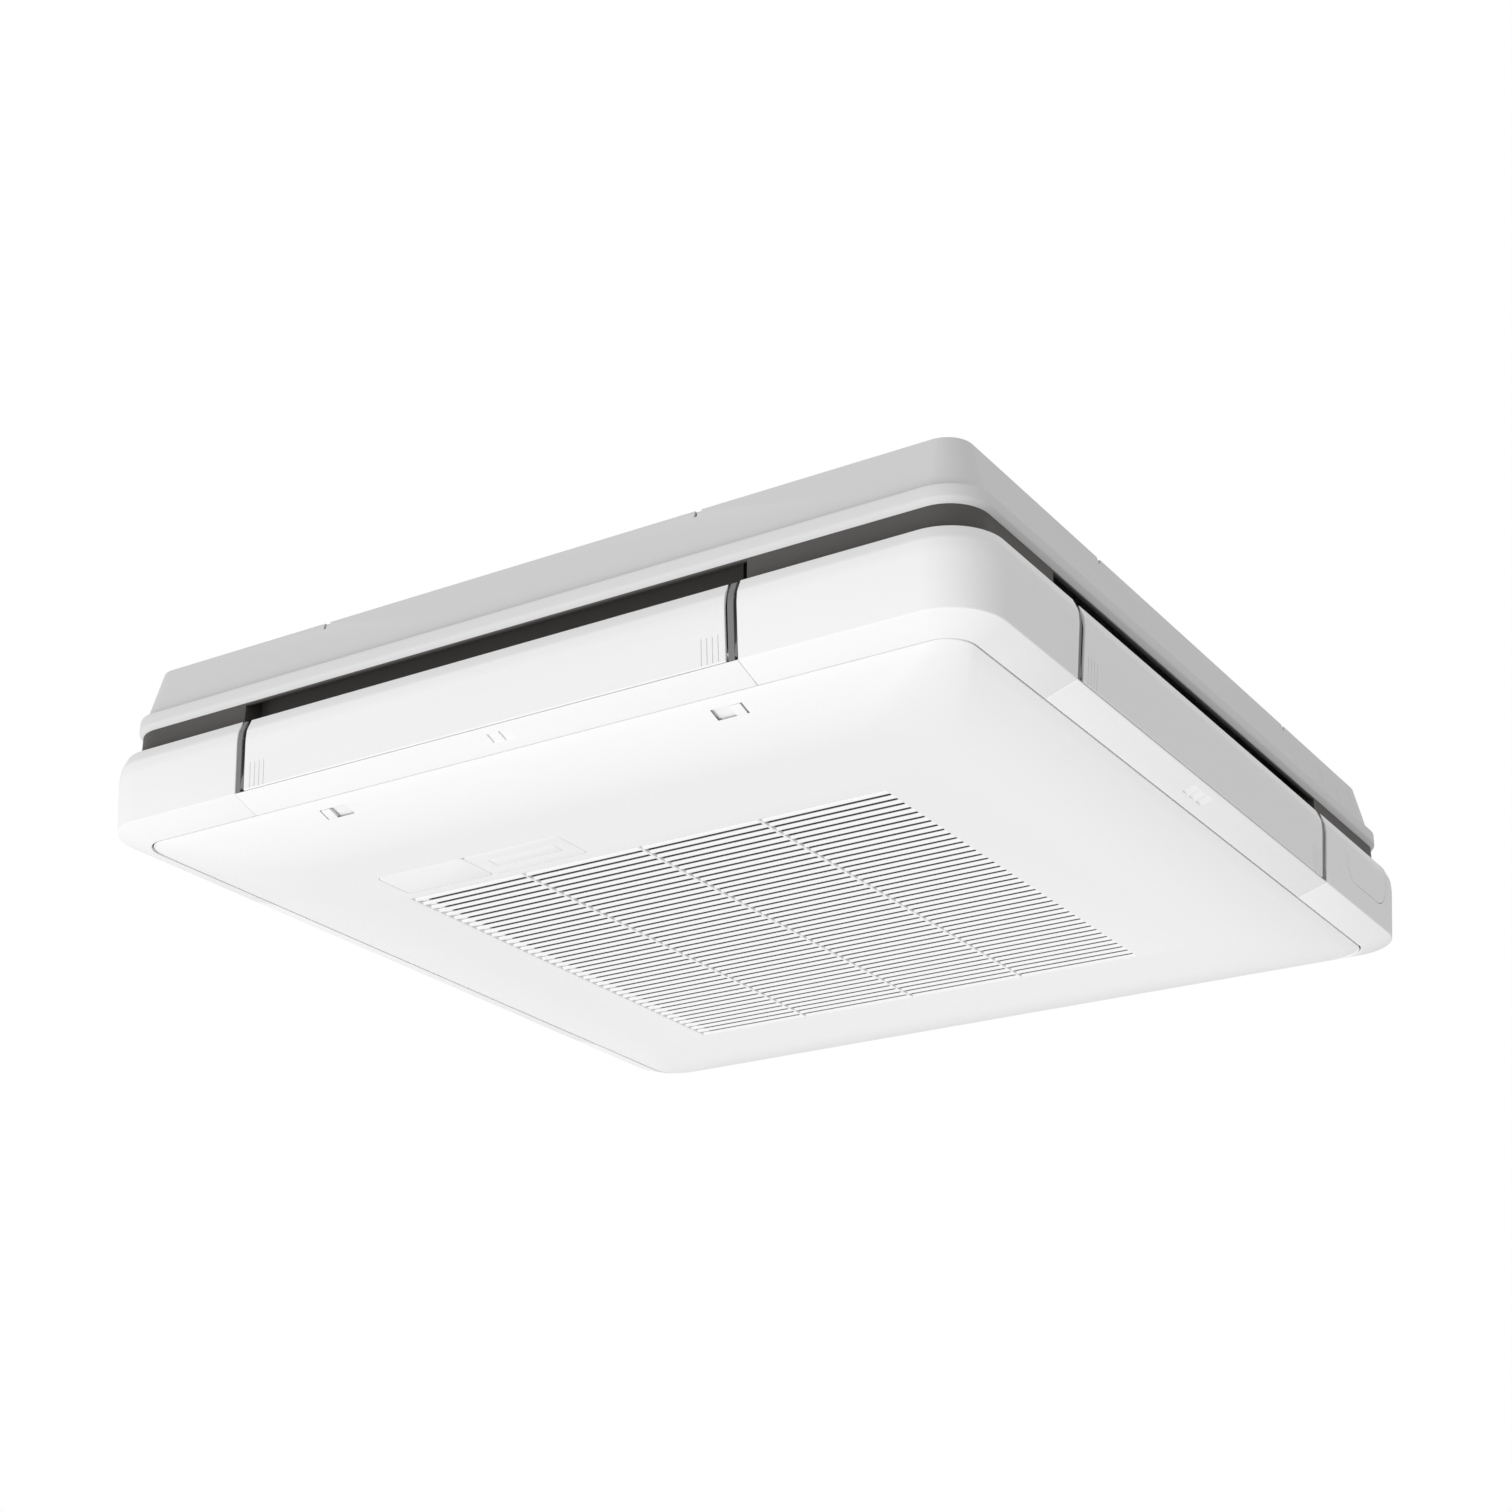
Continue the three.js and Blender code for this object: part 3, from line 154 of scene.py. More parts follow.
class Graph:
    """A node tree of a material or world, filled through one method."""

    def __init__(self, owner: bpy.types.Material | bpy.types.World) -> None:
        """Clears the tree of a material or world."""
        owner.use_nodes = True
        self.tree = owner.node_tree
        self.tree.nodes.clear()

    def add(
        self,
        kind: str,
        settings: dict[str, Any] | None = None,
        inputs: dict[str | int, Any] | None = None,
        output: str | int = 0,
    ) -> Wire:
        """Adds a node.

        Args:
            kind: the node's type.
            settings: its own settings, which are set first.
            inputs: values or links of its sockets, by name or number.
            output: the output that is returned.

        Returns:
            The wrapped output.
        """
        node = self.tree.nodes.new(kind)
        for name, value in (settings or {}).items():
            setattr(node, name, value)
        for name, value in (inputs or {}).items():
            if isinstance(value, Wire):
                self.tree.links.new(value.socket, node.inputs[name])
            else:
                node.inputs[name].default_value = value
        return Wire(self, node.outputs[output] if len(node.outputs) else node.inputs[0])

    def place(self) -> Wire:
        """Returns the surface point in the frame of the object, in metres."""
        return self.add("ShaderNodeTexCoord", output="Object")

    def plan(self) -> tuple[Wire, Wire]:
        """Returns the X and the Y of the surface point."""
        x = self.add("ShaderNodeSeparateXYZ", inputs={"Vector": self.place()})
        return x, x.beside("Y")

    def noise(self, size_mm: float, detail: float = 2.0, rough: float = 0.5) -> Wire:
        """Returns noise between 0 and 1.

        Args:
            size_mm: the width of its blotches.
            detail: octaves.
            rough: strength of the finer octaves.
        """
        inputs = {"Vector": self.place(), "Scale": 1000.0 / size_mm, "Detail": detail, "Roughness": rough}
        return self.add("ShaderNodeTexNoise", inputs=inputs)

    def cells(self, size_mm: float, feature: str = "F1", output: str = "Distance") -> Wire:
        """Returns an output of the pattern of round cells of a size."""
        inputs = {"Vector": self.place(), "Scale": 1000.0 / size_mm}
        return self.add("ShaderNodeTexVoronoi", {"feature": feature}, inputs, output)

    def blend(self, factor: Wire | float, first: Any, second: Any) -> Wire:
        """Returns a colour between two colours."""
        return self.add("ShaderNodeMix", {"data_type": "RGBA"}, {0: factor, 6: first, 7: second}, 2)

    def bump(self, height: Wire, strength: float, depth_mm: float) -> Wire:
        """Returns a normal that a height bends."""
        inputs = {"Strength": strength, "Distance": depth_mm * MM, "Height": height}
        return self.add("ShaderNodeBump", inputs=inputs)

    def surface(self, **sockets: Any) -> None:
        """Ends the graph in a Principled shader with these sockets, named in words joined by _."""
        named = {name.replace("_", " "): value for name, value in sockets.items()}
        shader = self.add("ShaderNodeBsdfPrincipled", inputs=named)
        self.add("ShaderNodeOutputMaterial", inputs={"Surface": shader})


def tinted(colour: Colour, factor: float) -> tuple[float, float, float, float]:
    """Returns a colour made lighter or darker, with full alpha."""
    return (*(min(1.0, c * factor) for c in colour), 1.0)


@dataclass(frozen=True)
class Finish:
    """A finish that the record's slots name; each kind writes its own graph."""

    name: str
    colour: Colour
    roughness: float = 0.5

    def write(self, graph: Graph) -> None:
        """Writes the nodes of the finish."""
        raise NotImplementedError

    def shades(self, graph: Graph, share: Wire, first: float, second: float) -> Wire:
        """Returns its colour between two shades of it."""
        return graph.blend(share, tinted(self.colour, first), tinted(self.colour, second))

    def material(self) -> bpy.types.Material:
        """Returns the material of the finish, made on the first call."""
        found = bpy.data.materials.get(self.name)
        if found is None:
            found = bpy.data.materials.new(self.name)
            self.write(Graph(found))
            found.diffuse_color = (*self.colour, 1.0)
        return found


@dataclass(frozen=True)
class MouldedPlastic(Finish):
    """Moulded plastic with a fine spark-eroded grain and faint clouds in its colour."""

    grain_mm: float = 0.7
    relief: float = 0.1
    cloud: float = 0.012

    def write(self, graph: Graph) -> None:
        """Writes the nodes of the finish."""
        clouds = graph.noise(160, 3.0)
        grain = graph.noise(self.grain_mm, 3.0, 0.6)
        graph.surface(
            Base_Color=self.shades(graph, clouds, 1 - self.cloud, 1 + self.cloud),
            Roughness=self.roughness - 0.04 + 0.08 * grain,
            Normal=graph.bump(grain, self.relief, 0.05),
            Specular_IOR_Level=0.4,
        )


@dataclass(frozen=True)
class ZincSheet(Finish):
    """Hot-dip zinc: crystals of differing brightness, drawn faintly along the sheet."""

    crystal_mm: float = 9.0

    def write(self, graph: Graph) -> None:
        """Writes the nodes of the finish."""
        crystals = graph.cells(self.crystal_mm, output="Color")
        tone = graph.add("ShaderNodeSeparateColor", inputs={"Color": crystals}, output="Red")
        streak = graph.noise(2.5, 4.0, 0.7)
        graph.surface(
            Base_Color=self.shades(graph, 0.65 * tone + 0.35 * streak, 0.82, 1.12),
            Metallic=1.0,
            Roughness=self.roughness + 0.16 * tone - 0.05 * streak,
            Normal=graph.bump(tone, 0.06, 0.05),
        )


@dataclass(frozen=True)
class BeadFoam(Finish):
    """Expanded foam whose beads show as shallow cells, with painted shade in the seams between them."""

    bead_mm: float = 3.2

    def write(self, graph: Graph) -> None:
        """Writes the nodes of the finish."""
        seam = (graph.cells(self.bead_mm, "DISTANCE_TO_EDGE") * 7.0).least(1.0)
        # the colour falls to 0.84 at the seams: painted shade in the creases between beads
        graph.surface(
            Base_Color=self.shades(graph, seam, 0.84, 1.0),
            Roughness=0.95 - 0.15 * seam,
            Normal=graph.bump(seam, 0.5, 0.25),
        )


@dataclass(frozen=True)
class FinPack(Finish):
    """The face of a coil: thin fins a fixed pitch apart, with painted shade in the gaps between them."""

    pitch_mm: float = 1.8

    def write(self, graph: Graph) -> None:
        """Writes the nodes of the finish."""
        x, y = graph.plan()
        half = self.pitch_mm * MM / 2
        fin = ((x + y).pingpong(half) / half) ** 0.5
        dust = graph.noise(30, 4.0)
        # the colour falls to 0.28 of itself between the fins: painted shade in the gaps
        graph.surface(
            Base_Color=graph.blend(fin, tinted(self.colour, 0.28), self.shades(graph, dust, 0.86, 1.05)),
            Metallic=0.9,
            Roughness=self.roughness + 0.2 * dust,
            Normal=graph.bump(fin, 0.7, 0.5),
        )


@dataclass(frozen=True)
class Metal(Finish):
    """Drawn or turned metal with a tarnish that gathers in clouds."""

    tarnish: Colour = (0.4, 0.3, 0.2)
    share: float = 0.35

    def write(self, graph: Graph) -> None:
        """Writes the nodes of the finish."""
        cloud = graph.noise(14, 5.0, 0.65)
        scratch = graph.noise(0.9, 2.0)
        graph.surface(
            Base_Color=graph.blend(self.share * cloud, tinted(self.colour, 1.0), tinted(self.tarnish, 1.0)),
            Metallic=1.0,
            Roughness=self.roughness + 0.22 * cloud + 0.05 * scratch,
            Normal=graph.bump(scratch, 0.08, 0.05),
        )


@dataclass(frozen=True)
class Rubber(Finish):
    """Matt rubber with a dusty bloom."""

    def write(self, graph: Graph) -> None:
        """Writes the nodes of the finish."""
        bloom = graph.noise(6, 4.0, 0.6)
        graph.surface(
            Base_Color=self.shades(graph, bloom, 0.8, 1.5),
            Roughness=0.78 + 0.15 * bloom,
            Normal=graph.bump(bloom, 0.15, 0.1),
        )


@dataclass(frozen=True)
class Net(Finish):
    """Woven filter net: threads both ways with holes between them."""

    pitch_mm: float = 1.4

    def write(self, graph: Graph) -> None:
        """Writes the nodes of the finish."""
        half = self.pitch_mm * MM / 2
        along, across = [axis.pingpong(half) / half for axis in graph.plan()]
        thread = along.most(across) ** 3.0
        graph.surface(
            Base_Color=self.shades(graph, thread, 0.35, 1.3),
            Roughness=0.6 + 0.3 * thread,
            Normal=graph.bump(thread, 0.6, 0.3),
        )


@dataclass(frozen=True)
class Board(Finish):
    """Solder mask with paler tracks."""

    def write(self, graph: Graph) -> None:
        """Writes the nodes of the finish."""
        tracks = graph.cells(7.0, "DISTANCE_TO_EDGE").above(0.09)
        graph.surface(
            Base_Color=self.shades(graph, tracks, 1.9, 1.0),
            Roughness=0.35 + 0.2 * tracks,
            Normal=graph.bump(tracks, 0.2, 0.1),
        )


PANEL_WHITE = MouldedPlastic("panel_white", (0.868, 0.868, 0.872), 0.42)
CASING_GREY = MouldedPlastic("casing_grey", (0.865, 0.868, 0.88), 0.5, relief=0.14)
OUTLET_DARK = MouldedPlastic("outlet_dark", (0.050, 0.0435, 0.042), 0.62, relief=0.2)
# pale lining of the duct mouths, made light so that the recess in the flap's shade reads bright: painted
# light
DUCT_PAINTED_LIGHT = MouldedPlastic("duct_painted_light", (0.62, 0.585, 0.57), 0.7, relief=0.2)
DUCT_FOAM = BeadFoam("duct_foam", (0.36, 0.345, 0.34))
# grey of the drain parts and of the bearing cheeks; on the cheeks it stands for a pale face in the slot's
# shade: painted shade
GREY_PLASTIC_AND_SLOT_SHADE = MouldedPlastic("grey_plastic", (0.195, 0.195, 0.195), 0.55, relief=0.2)
# dark ends, inner faces and pins of the flaps: painted shade of the slots and of the flap's hollow
FLAP_SHADE_DARK = MouldedPlastic("flap_painted_shade", (0.045, 0.043, 0.042), 0.6)
ZINC = ZincSheet("galvanised_steel", (0.60, 0.62, 0.635), 0.3)
WHITE_FOAM = BeadFoam("foam", (0.80, 0.81, 0.80))
FINS = FinPack("coil_fins", (0.66, 0.69, 0.71), 0.35)
COPPER = Metal("copper", (0.72, 0.36, 0.20), 0.25, tarnish=(0.33, 0.17, 0.10))
BRASS = Metal("flare_brass", (0.74, 0.58, 0.28), 0.22, tarnish=(0.40, 0.30, 0.15))
FAN_BLACK = MouldedPlastic("fan_black", (0.030, 0.031, 0.033), 0.5, relief=0.2)
RUBBER = Rubber("rubber", (0.02, 0.02, 0.02))
BOARD = Board("board_green", (0.03, 0.16, 0.08))
FILTER_BLACK = MouldedPlastic("filter_mesh", (0.014, 0.013, 0.013), 0.5)
FILTER_NET = Net("filter_net", (0.012, 0.0115, 0.0115))
BADGE_WHITE = MouldedPlastic("badge_white", (0.90, 0.90, 0.90), 0.22, relief=0.04)


# ---------------------------------------------------------------- shapes
def spun(x: float, y: float, quarters: int) -> Flat:
    """Returns a plan point after quarter turns about the middle."""
    for _ in range(quarters % 4):
        x, y = -y, x
    return x, y


class Spot(NamedTuple):
    """A place along the unit's outline: on a side's straight part, or part of the way round its corner."""

    side: int
    along: float | None = None
    turn: float = 0.0


class Knee(NamedTuple):
    """A corner of a section: distance out, level, how round it is, and its own plan radius, if any."""

    out: float
    level: float
    round: float = 0.0
    plan: float | None = None

    @property
    def radius(self) -> float:
        """Returns its plan radius, which else is about the centre that the widest line's corner has."""
        return max(4.0, CORNER_RADIUS - HALF + self.out) if self.plan is None else self.plan

    def at(self, spot: Spot) -> Point:
        """Returns the point where it passes a spot."""
        if spot.along is not None:
            x, y = spot.along, -self.out
        else:
            angle = spot.turn * math.pi / 2
            x = self.out - self.radius + self.radius * math.sin(angle)
            y = -(self.out - self.radius) - self.radius * math.cos(angle)
        return (*spun(x, y, spot.side), self.level)


def filleted(section: Sequence[Knee], steps: int = 4) -> list[Knee]:
    """Rounds the corners of a closed section.

    Args:
        section: its corners in order.
        steps: pieces of each round.

    Returns:
        The finer section.
    """
    made: list[Knee] = []
    for i, knee in enumerate(section):
        if knee.round <= 0:
            made.append(knee)
            continue
        middle = (knee.out, knee.level, knee.radius)
        ends = []
        for other in (section[i - 1], section[(i + 1) % len(section)]):
            gap = math.hypot(other.out - knee.out, other.level - knee.level)
            share = min(0.48, knee.round / max(gap, 1e-6))
            far = (other.out, other.level, other.radius)
            ends.append([a + (b - a) * share for a, b in zip(middle, far)])
        for step in range(steps + 1):
            t = step / steps
            a, b, c = (1 - t) ** 2, 2 * t * (1 - t), t * t
            out, level, plan = (a * p + b * q + c * r for p, q, r in zip(ends[0], middle, ends[1]))
            made.append(Knee(out, level, 0.0, plan))
    return made


def shrunk(section: Sequence[Knee], amount: float) -> list[Knee]:
    """Returns a closed section drawn in by an amount all round."""
    pairs = [(section[i - 1], knee) for i, knee in enumerate(section)]
    turn = 1.0 if sum(a.out * b.level - b.out * a.level for a, b in pairs) > 0 else -1.0
    normals = []
    for a, b in pairs:
        across, up = b.out - a.out, b.level - a.level
        length = math.hypot(across, up) or 1.0
        normals.append(Vector((-up / length, across / length)) * turn)
    made = []
    for i, knee in enumerate(section):
        before, after = normals[i], normals[(i + 1) % len(section)]
        both = before + after
        both /= max(0.6, 1 + before.dot(after))
        made.append(Knee(knee.out + both.x * amount, knee.level + both.y * amount, 0.0, knee.radius))
    return made


def corner_spots(side: int) -> list[Spot]:
    """Returns the spots round the corner at a side's end."""
    return [Spot(side, None, i / CORNER_STEPS) for i in range(CORNER_STEPS + 1)]


def ring_spots() -> list[Spot]:
    """Returns the spots of a full round of the outline."""
    return [spot for side in range(4) for spot in (Spot(side, 0.0), *corner_spots(side))]


def rounded(x0: float, x1: float, y0: float, y1: float, radius: float, steps: int = 6) -> list[Flat]:
    """Returns a rectangle with round corners as plan points, counter-clockwise."""
    a, b, c, d = x0 + radius, x1 - radius, y0 + radius, y1 - radius
    made = []
    for quarter, (x, y) in enumerate(((b, d), (a, d), (a, c), (b, c))):
        for step in range(steps + 1):
            angle = (quarter + step / steps) * math.pi / 2
            made.append((x + radius * math.cos(angle), y + radius * math.sin(angle)))
    return made


class Shell:
    """Collects points in millimetres and faces with a finish number, and becomes one object."""

    def __init__(self) -> None:
        """Starts without any point."""
        self.points: list[Point] = []
        self.faces: list[tuple[int, ...]] = []
        self.tints: list[int] = []

    def put(self, points: Iterable[Point]) -> list[int]:
        """Adds points and returns their numbers."""
        start = len(self.points)
        self.points.extend(points)
        return list(range(start, len(self.points)))

    def face(self, ids: Iterable[int], tint: int = 0) -> None:
        """Adds a face."""
        self.faces.append(tuple(ids))
        self.tints.append(tint)

    def skin(self, rows: Sequence[Sequence[int]], wrap: bool = False, tints: Sequence[int] = (0,)) -> None:
        """Adds quads between following closed rows of numbers.

        Args:
            rows: rows of equal length.
            wrap: whether the last row joins the first.
            tints: the finish numbers of the strips, the last of which goes on to the end of the row.
        """
        count = len(rows[0])
        for i in range(len(rows) if wrap else len(rows) - 1):
            low, high = rows[i], rows[(i + 1) % len(rows)]
            for j in range(count):
                k = (j + 1) % count
                self.face((low[j], low[k], high[k], high[j]), tints[min(j, len(tints) - 1)])

    def loft(self, rows: Sequence[Sequence[int]], tint: int = 0, tints: Sequence[int] = ()) -> None:
        """Adds a closed body through rows of numbers, with a finish for its ends and strips."""
        self.skin(rows, tints=tints or (tint,))
        self.face(rows[0], tint)
        self.face(reversed(rows[-1]), tint)

    def ring(self, section: Sequence[Knee]) -> None:
        """Adds a closed section drawn round the outline."""
        self.skin([self.put(knee.at(spot) for knee in section) for spot in ring_spots()], True)

    def bar(
        self, section: Sequence[Knee], spots: Sequence[Spot], soft: float, inner: int | None = None
    ) -> None:
        """Adds a section drawn along an open line of spots, with softened ends.

        Args:
            section: the closed section.
            spots: the line, whose first and last spots are the ends on straight parts.
            soft: how far the ends are rounded.
            inner: the strip of the section from which on, as on the ends, finish 1 is used.
        """
        first, last = spots[0], spots[-1]
        steps = ((0.0, 1.0), (0.13, 0.5), (0.5, 0.13), (1.0, 0.0))
        stations = [(Spot(first.side, first.along + a * soft), b * soft) for a, b in steps]
        stations += [(spot, 0.0) for spot in spots[1:-1]]
        stations += [(Spot(last.side, last.along - a * soft), b * soft) for a, b in reversed(steps)]
        rows = [self.put(knee.at(spot) for knee in shrunk(section, inset)) for spot, inset in stations]
        if inner is None:
            self.loft(rows)
        else:
            self.loft(rows, 1, (*[0] * inner, 1))

    def prism(
        self, outline: Sequence[Flat], low: float, high: float, soft: float = 0.0, tint: int = 0
    ) -> None:
        """Adds an upright prism on a plan outline.

        Args:
            outline: plan points in order.
            low: its lower level.
            high: its upper level.
            soft: how far its lower and upper edges are rounded.
            tint: its finish number.
        """
        knees = [Knee(x, y, 0.0, 1.0) for x, y in outline]
        curve = ((0.0, 1.0), (0.15, 0.45), (0.45, 0.15), (1.0, 0.0)) if soft else ((0.0, 0.0),)
        levels = [(low + a * soft, b * soft) for a, b in curve]
        levels += [(high - a * soft, b * soft) for a, b in reversed(curve)]
        rows = [self.put((k.out, k.level, z) for k in shrunk(knees, inset)) for z, inset in levels]
        self.loft(rows, tint)

    def block(self, low: Point, high: Point, tint: int = 0) -> None:
        """Adds a block between two corners."""
        outline = [(low[0], low[1]), (high[0], low[1]), (high[0], high[1]), (low[0], high[1])]
        self.prism(outline, low[2], high[2], tint=tint)

    def border(self, outer: Box, inner: Box, low: float, high: float) -> None:
        """Adds a rectangular frame between two plan boxes of (x0, x1, y0, y1)."""
        levels = ((outer, low), (outer, high), (inner, high), (inner, low))
        self.skin([self.put((x, y, z) for x, y in rounded(*box, 0.6, 2)) for box, z in levels], True)

    def strip(self, side: int, ends: Iterable[tuple[float, Sequence[Flat]]], tint: int = 0) -> None:
        """Adds a body through outlines of (out, level), each at its place along a side."""
        rows = [self.put((*spun(u, -out, side), z) for out, z in outline) for u, outline in ends]
        self.loft(rows, tint)

    def slab(self, outline: Sequence[Flat], side: int, u0: float, u1: float, tint: int = 0) -> None:
        """Adds an outline of (out, level) drawn straight along a side."""
        self.strip(side, ((u0, outline), (u1, outline)), tint)

    def rod(self, radius: float, place: Flat, side: int, u0: float, u1: float, tint: int = 0) -> None:
        """Adds a bar of a radius along a side, with softened ends, at a place of (out, level)."""
        angles = [2 * math.pi * i / 24 for i in range(24)]
        ends = ((u0, radius - 0.4), (u0 + 0.4, radius), (u1 - 0.4, radius), (u1, radius - 0.4))
        circles = [
            (u, [(place[0] + r * math.cos(a), place[1] + r * math.sin(a)) for a in angles]) for u, r in ends
        ]
        self.strip(side, circles, tint)

    def sheet(self, rims: Sequence[Sequence[int]]) -> None:
        """Fills a level polygon with holes by triangles; the first rim is the outer one."""
        flat = [[Vector(self.points[i]) for i in rim] for rim in rims]
        ids = [i for rim in rims for i in rim]
        for triangle in tessellate_polygon(flat):
            self.face(ids[i] for i in triangle)

    def object(self, name: str, smooth_deg: float = 32.0) -> bpy.types.Object:
        """Makes the object.

        Args:
            name: its name.
            smooth_deg: edges sharper than this stay sharp.

        Returns:
            The linked object, with outward normals.
        """
        mesh = bpy.data.meshes.new(name)
        mesh.from_pydata([Vector(p) * MM for p in self.points], [], self.faces)
        mesh.polygons.foreach_set("material_index", self.tints)
        work = bmesh.new()
        work.from_mesh(mesh)
        bmesh.ops.remove_doubles(work, verts=work.verts, dist=1e-6)
        bmesh.ops.recalc_face_normals(work, faces=work.faces)
        work.to_mesh(mesh)
        work.free()
        made = placed(name, mesh)
        shaded(made, smooth_deg)
        return made


def shaded(obj: bpy.types.Object, smooth_deg: float = 32.0) -> None:
    """Shades an object smooth between its sharp edges."""
    obj.data.shade_smooth()
    obj.data.set_sharp_from_angle(angle=math.radians(smooth_deg))


def carved(
    obj: bpy.types.Object,
    cutter: Shell,
    smooth_deg: float = 32.0,
    crossing: bool = False,
    cut: Cut = Cut.AWAY,
) -> None:
    """Cuts an object with a shell.

    Args:
        obj: the object to cut.
        cutter: the closed shapes to cut with.
        smooth_deg: edges sharper than this stay sharp.
        crossing: whether the shapes run into each other.
        cut: whether the shapes are taken away or kept.
    """
    tool = cutter.object("cutter")
    for slot in obj.data.materials:
        tool.data.materials.append(slot)
    modifier = obj.modifiers.new("cut", "BOOLEAN")
    modifier.operation = cut.value
    modifier.solver = "EXACT"
    modifier.use_self = crossing
    modifier.object = tool
    graph = bpy.context.evaluated_depsgraph_get()
    mesh = bpy.data.meshes.new_from_object(obj.evaluated_get(graph))
    obj.modifiers.clear()
    obj.data = mesh
    bpy.data.objects.remove(tool)
    shaded(obj, smooth_deg)


def joined(obj: bpy.types.Object, extra: Shell) -> None:
    """Adds a shell to an object's mesh as further closed bodies."""
    other = extra.object("extra")
    work = bmesh.new()
    work.from_mesh(obj.data)
    work.from_mesh(other.data)
    work.to_mesh(obj.data)
    work.free()
    bpy.data.objects.remove(other)
    shaded(obj)


def dressed(obj: bpy.types.Object, body: Body, finishes: Sequence[Finish], node: str = "") -> None:
    """Gives a piece its finishes and its body.

    Args:
        obj: the piece.
        body: the body that it rides on.
        finishes: its finishes by finish number.
        node: the node of the solids that it stands for, if any.
    """
    obj.data.materials.clear()
    for finish in finishes:
        obj.data.materials.append(finish.material())
    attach(obj, body.value)
    if node:
        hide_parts(node)
    log.info("%s: %d faces on %s", obj.name, len(obj.data.polygons), body.value)


# ---------------------------------------------------------------- pieces
class Piece:
    """A sub-assembly that builds its meshes and dresses them."""

    def build(self) -> None:
        """Builds and dresses the pieces."""
        raise NotImplementedError


@dataclass
class UpperCasing(Piece):
    """The sloping upper shell with its shoulder, lip, hook notches and knock-out outlines."""

    top_inset: float = 31.0
    shoulder: Flat = (19.0, 50.5)
    lip: Flat = (13.5, 63.6)
    wall: float = 2.5
    foot: Flat = (17.4, 68.2)
    foot_wall: float = 1.6
    notches: tuple[Flat, ...] = ((-223.7, 190.9), (-189.8, 229.8), (-223.7, 190.9), (-189.8, 229.8))
    notch_cuts: tuple[Box, ...] = ((-1.4, 1.4, -7.0, 1.0), (0.6, 5.4, -3.2, 1.0))
    notch_deep: float = 60.0
    seams: tuple[Box, ...] = (
        (311.5, 312.1, -36.0, -12.0), (354.0, 354.6, -44.0, -26.0), (401.5, 402.1, -40.0, -8.0),
    )
    seam_deep: float = 0.7

    def section(self) -> list[Knee]:
        """Returns the shell's closed section."""
        top = HALF - self.top_inset
        shoulder, shoulder_level = line(*self.shoulder)
        lip, lip_level = line(*self.lip)
        foot, foot_level = line(*self.foot)
        return filleted([
            Knee(top, 0.0, 0.5),
            Knee(shoulder, shoulder_level, 0.8),
            Knee(lip, shoulder_level - 0.9, 1.9),
            Knee(lip, lip_level, 1.2),
            Knee(foot, foot_level, 0.4),
            Knee(foot - self.foot_wall, foot_level, 0.4),
            Knee(foot - self.foot_wall, shoulder_level - 3.5, 0.5),
            Knee(shoulder - self.wall - 0.3, shoulder_level - 2.5, 0.5),
            Knee(top - self.wall, 0.0, 0.4),
        ])

    def build(self) -> None:
        """Builds and dresses the shell."""
        shell = Shell()
        shell.ring(self.section())
        casing = shell.object("casing_shell")
        cutter = Shell()
        for side, places in enumerate(self.notches):
            for u in places:
                for near, far, low, high in self.notch_cuts:
                    self._cut(cutter, side, (u + near, u + far, low, high), self.notch_deep)
        for seam in self.seams:
            self._cut(cutter, 1, seam, self.seam_deep)
        carved(casing, cutter, crossing=True)
        dressed(casing, Body.UNIT, [CASING_GREY], "upper_casing")

    def _cut(self, cutter: Shell, side: int, box: Box, deep: float) -> None:
        """Adds a cutting block of (from, to, low, high) that follows a side's slope to a depth in it."""
        near, far, low, high = box
        slope = (self.top_inset - self.shoulder[0]) / self.shoulder[1]
        a, b = (HALF - self.top_inset - slope * z for z in (low, high))
        cutter.slab([(a + 3.0, low), (b + 3.0, high), (b - deep, high), (a - deep, low)], side, near, far)


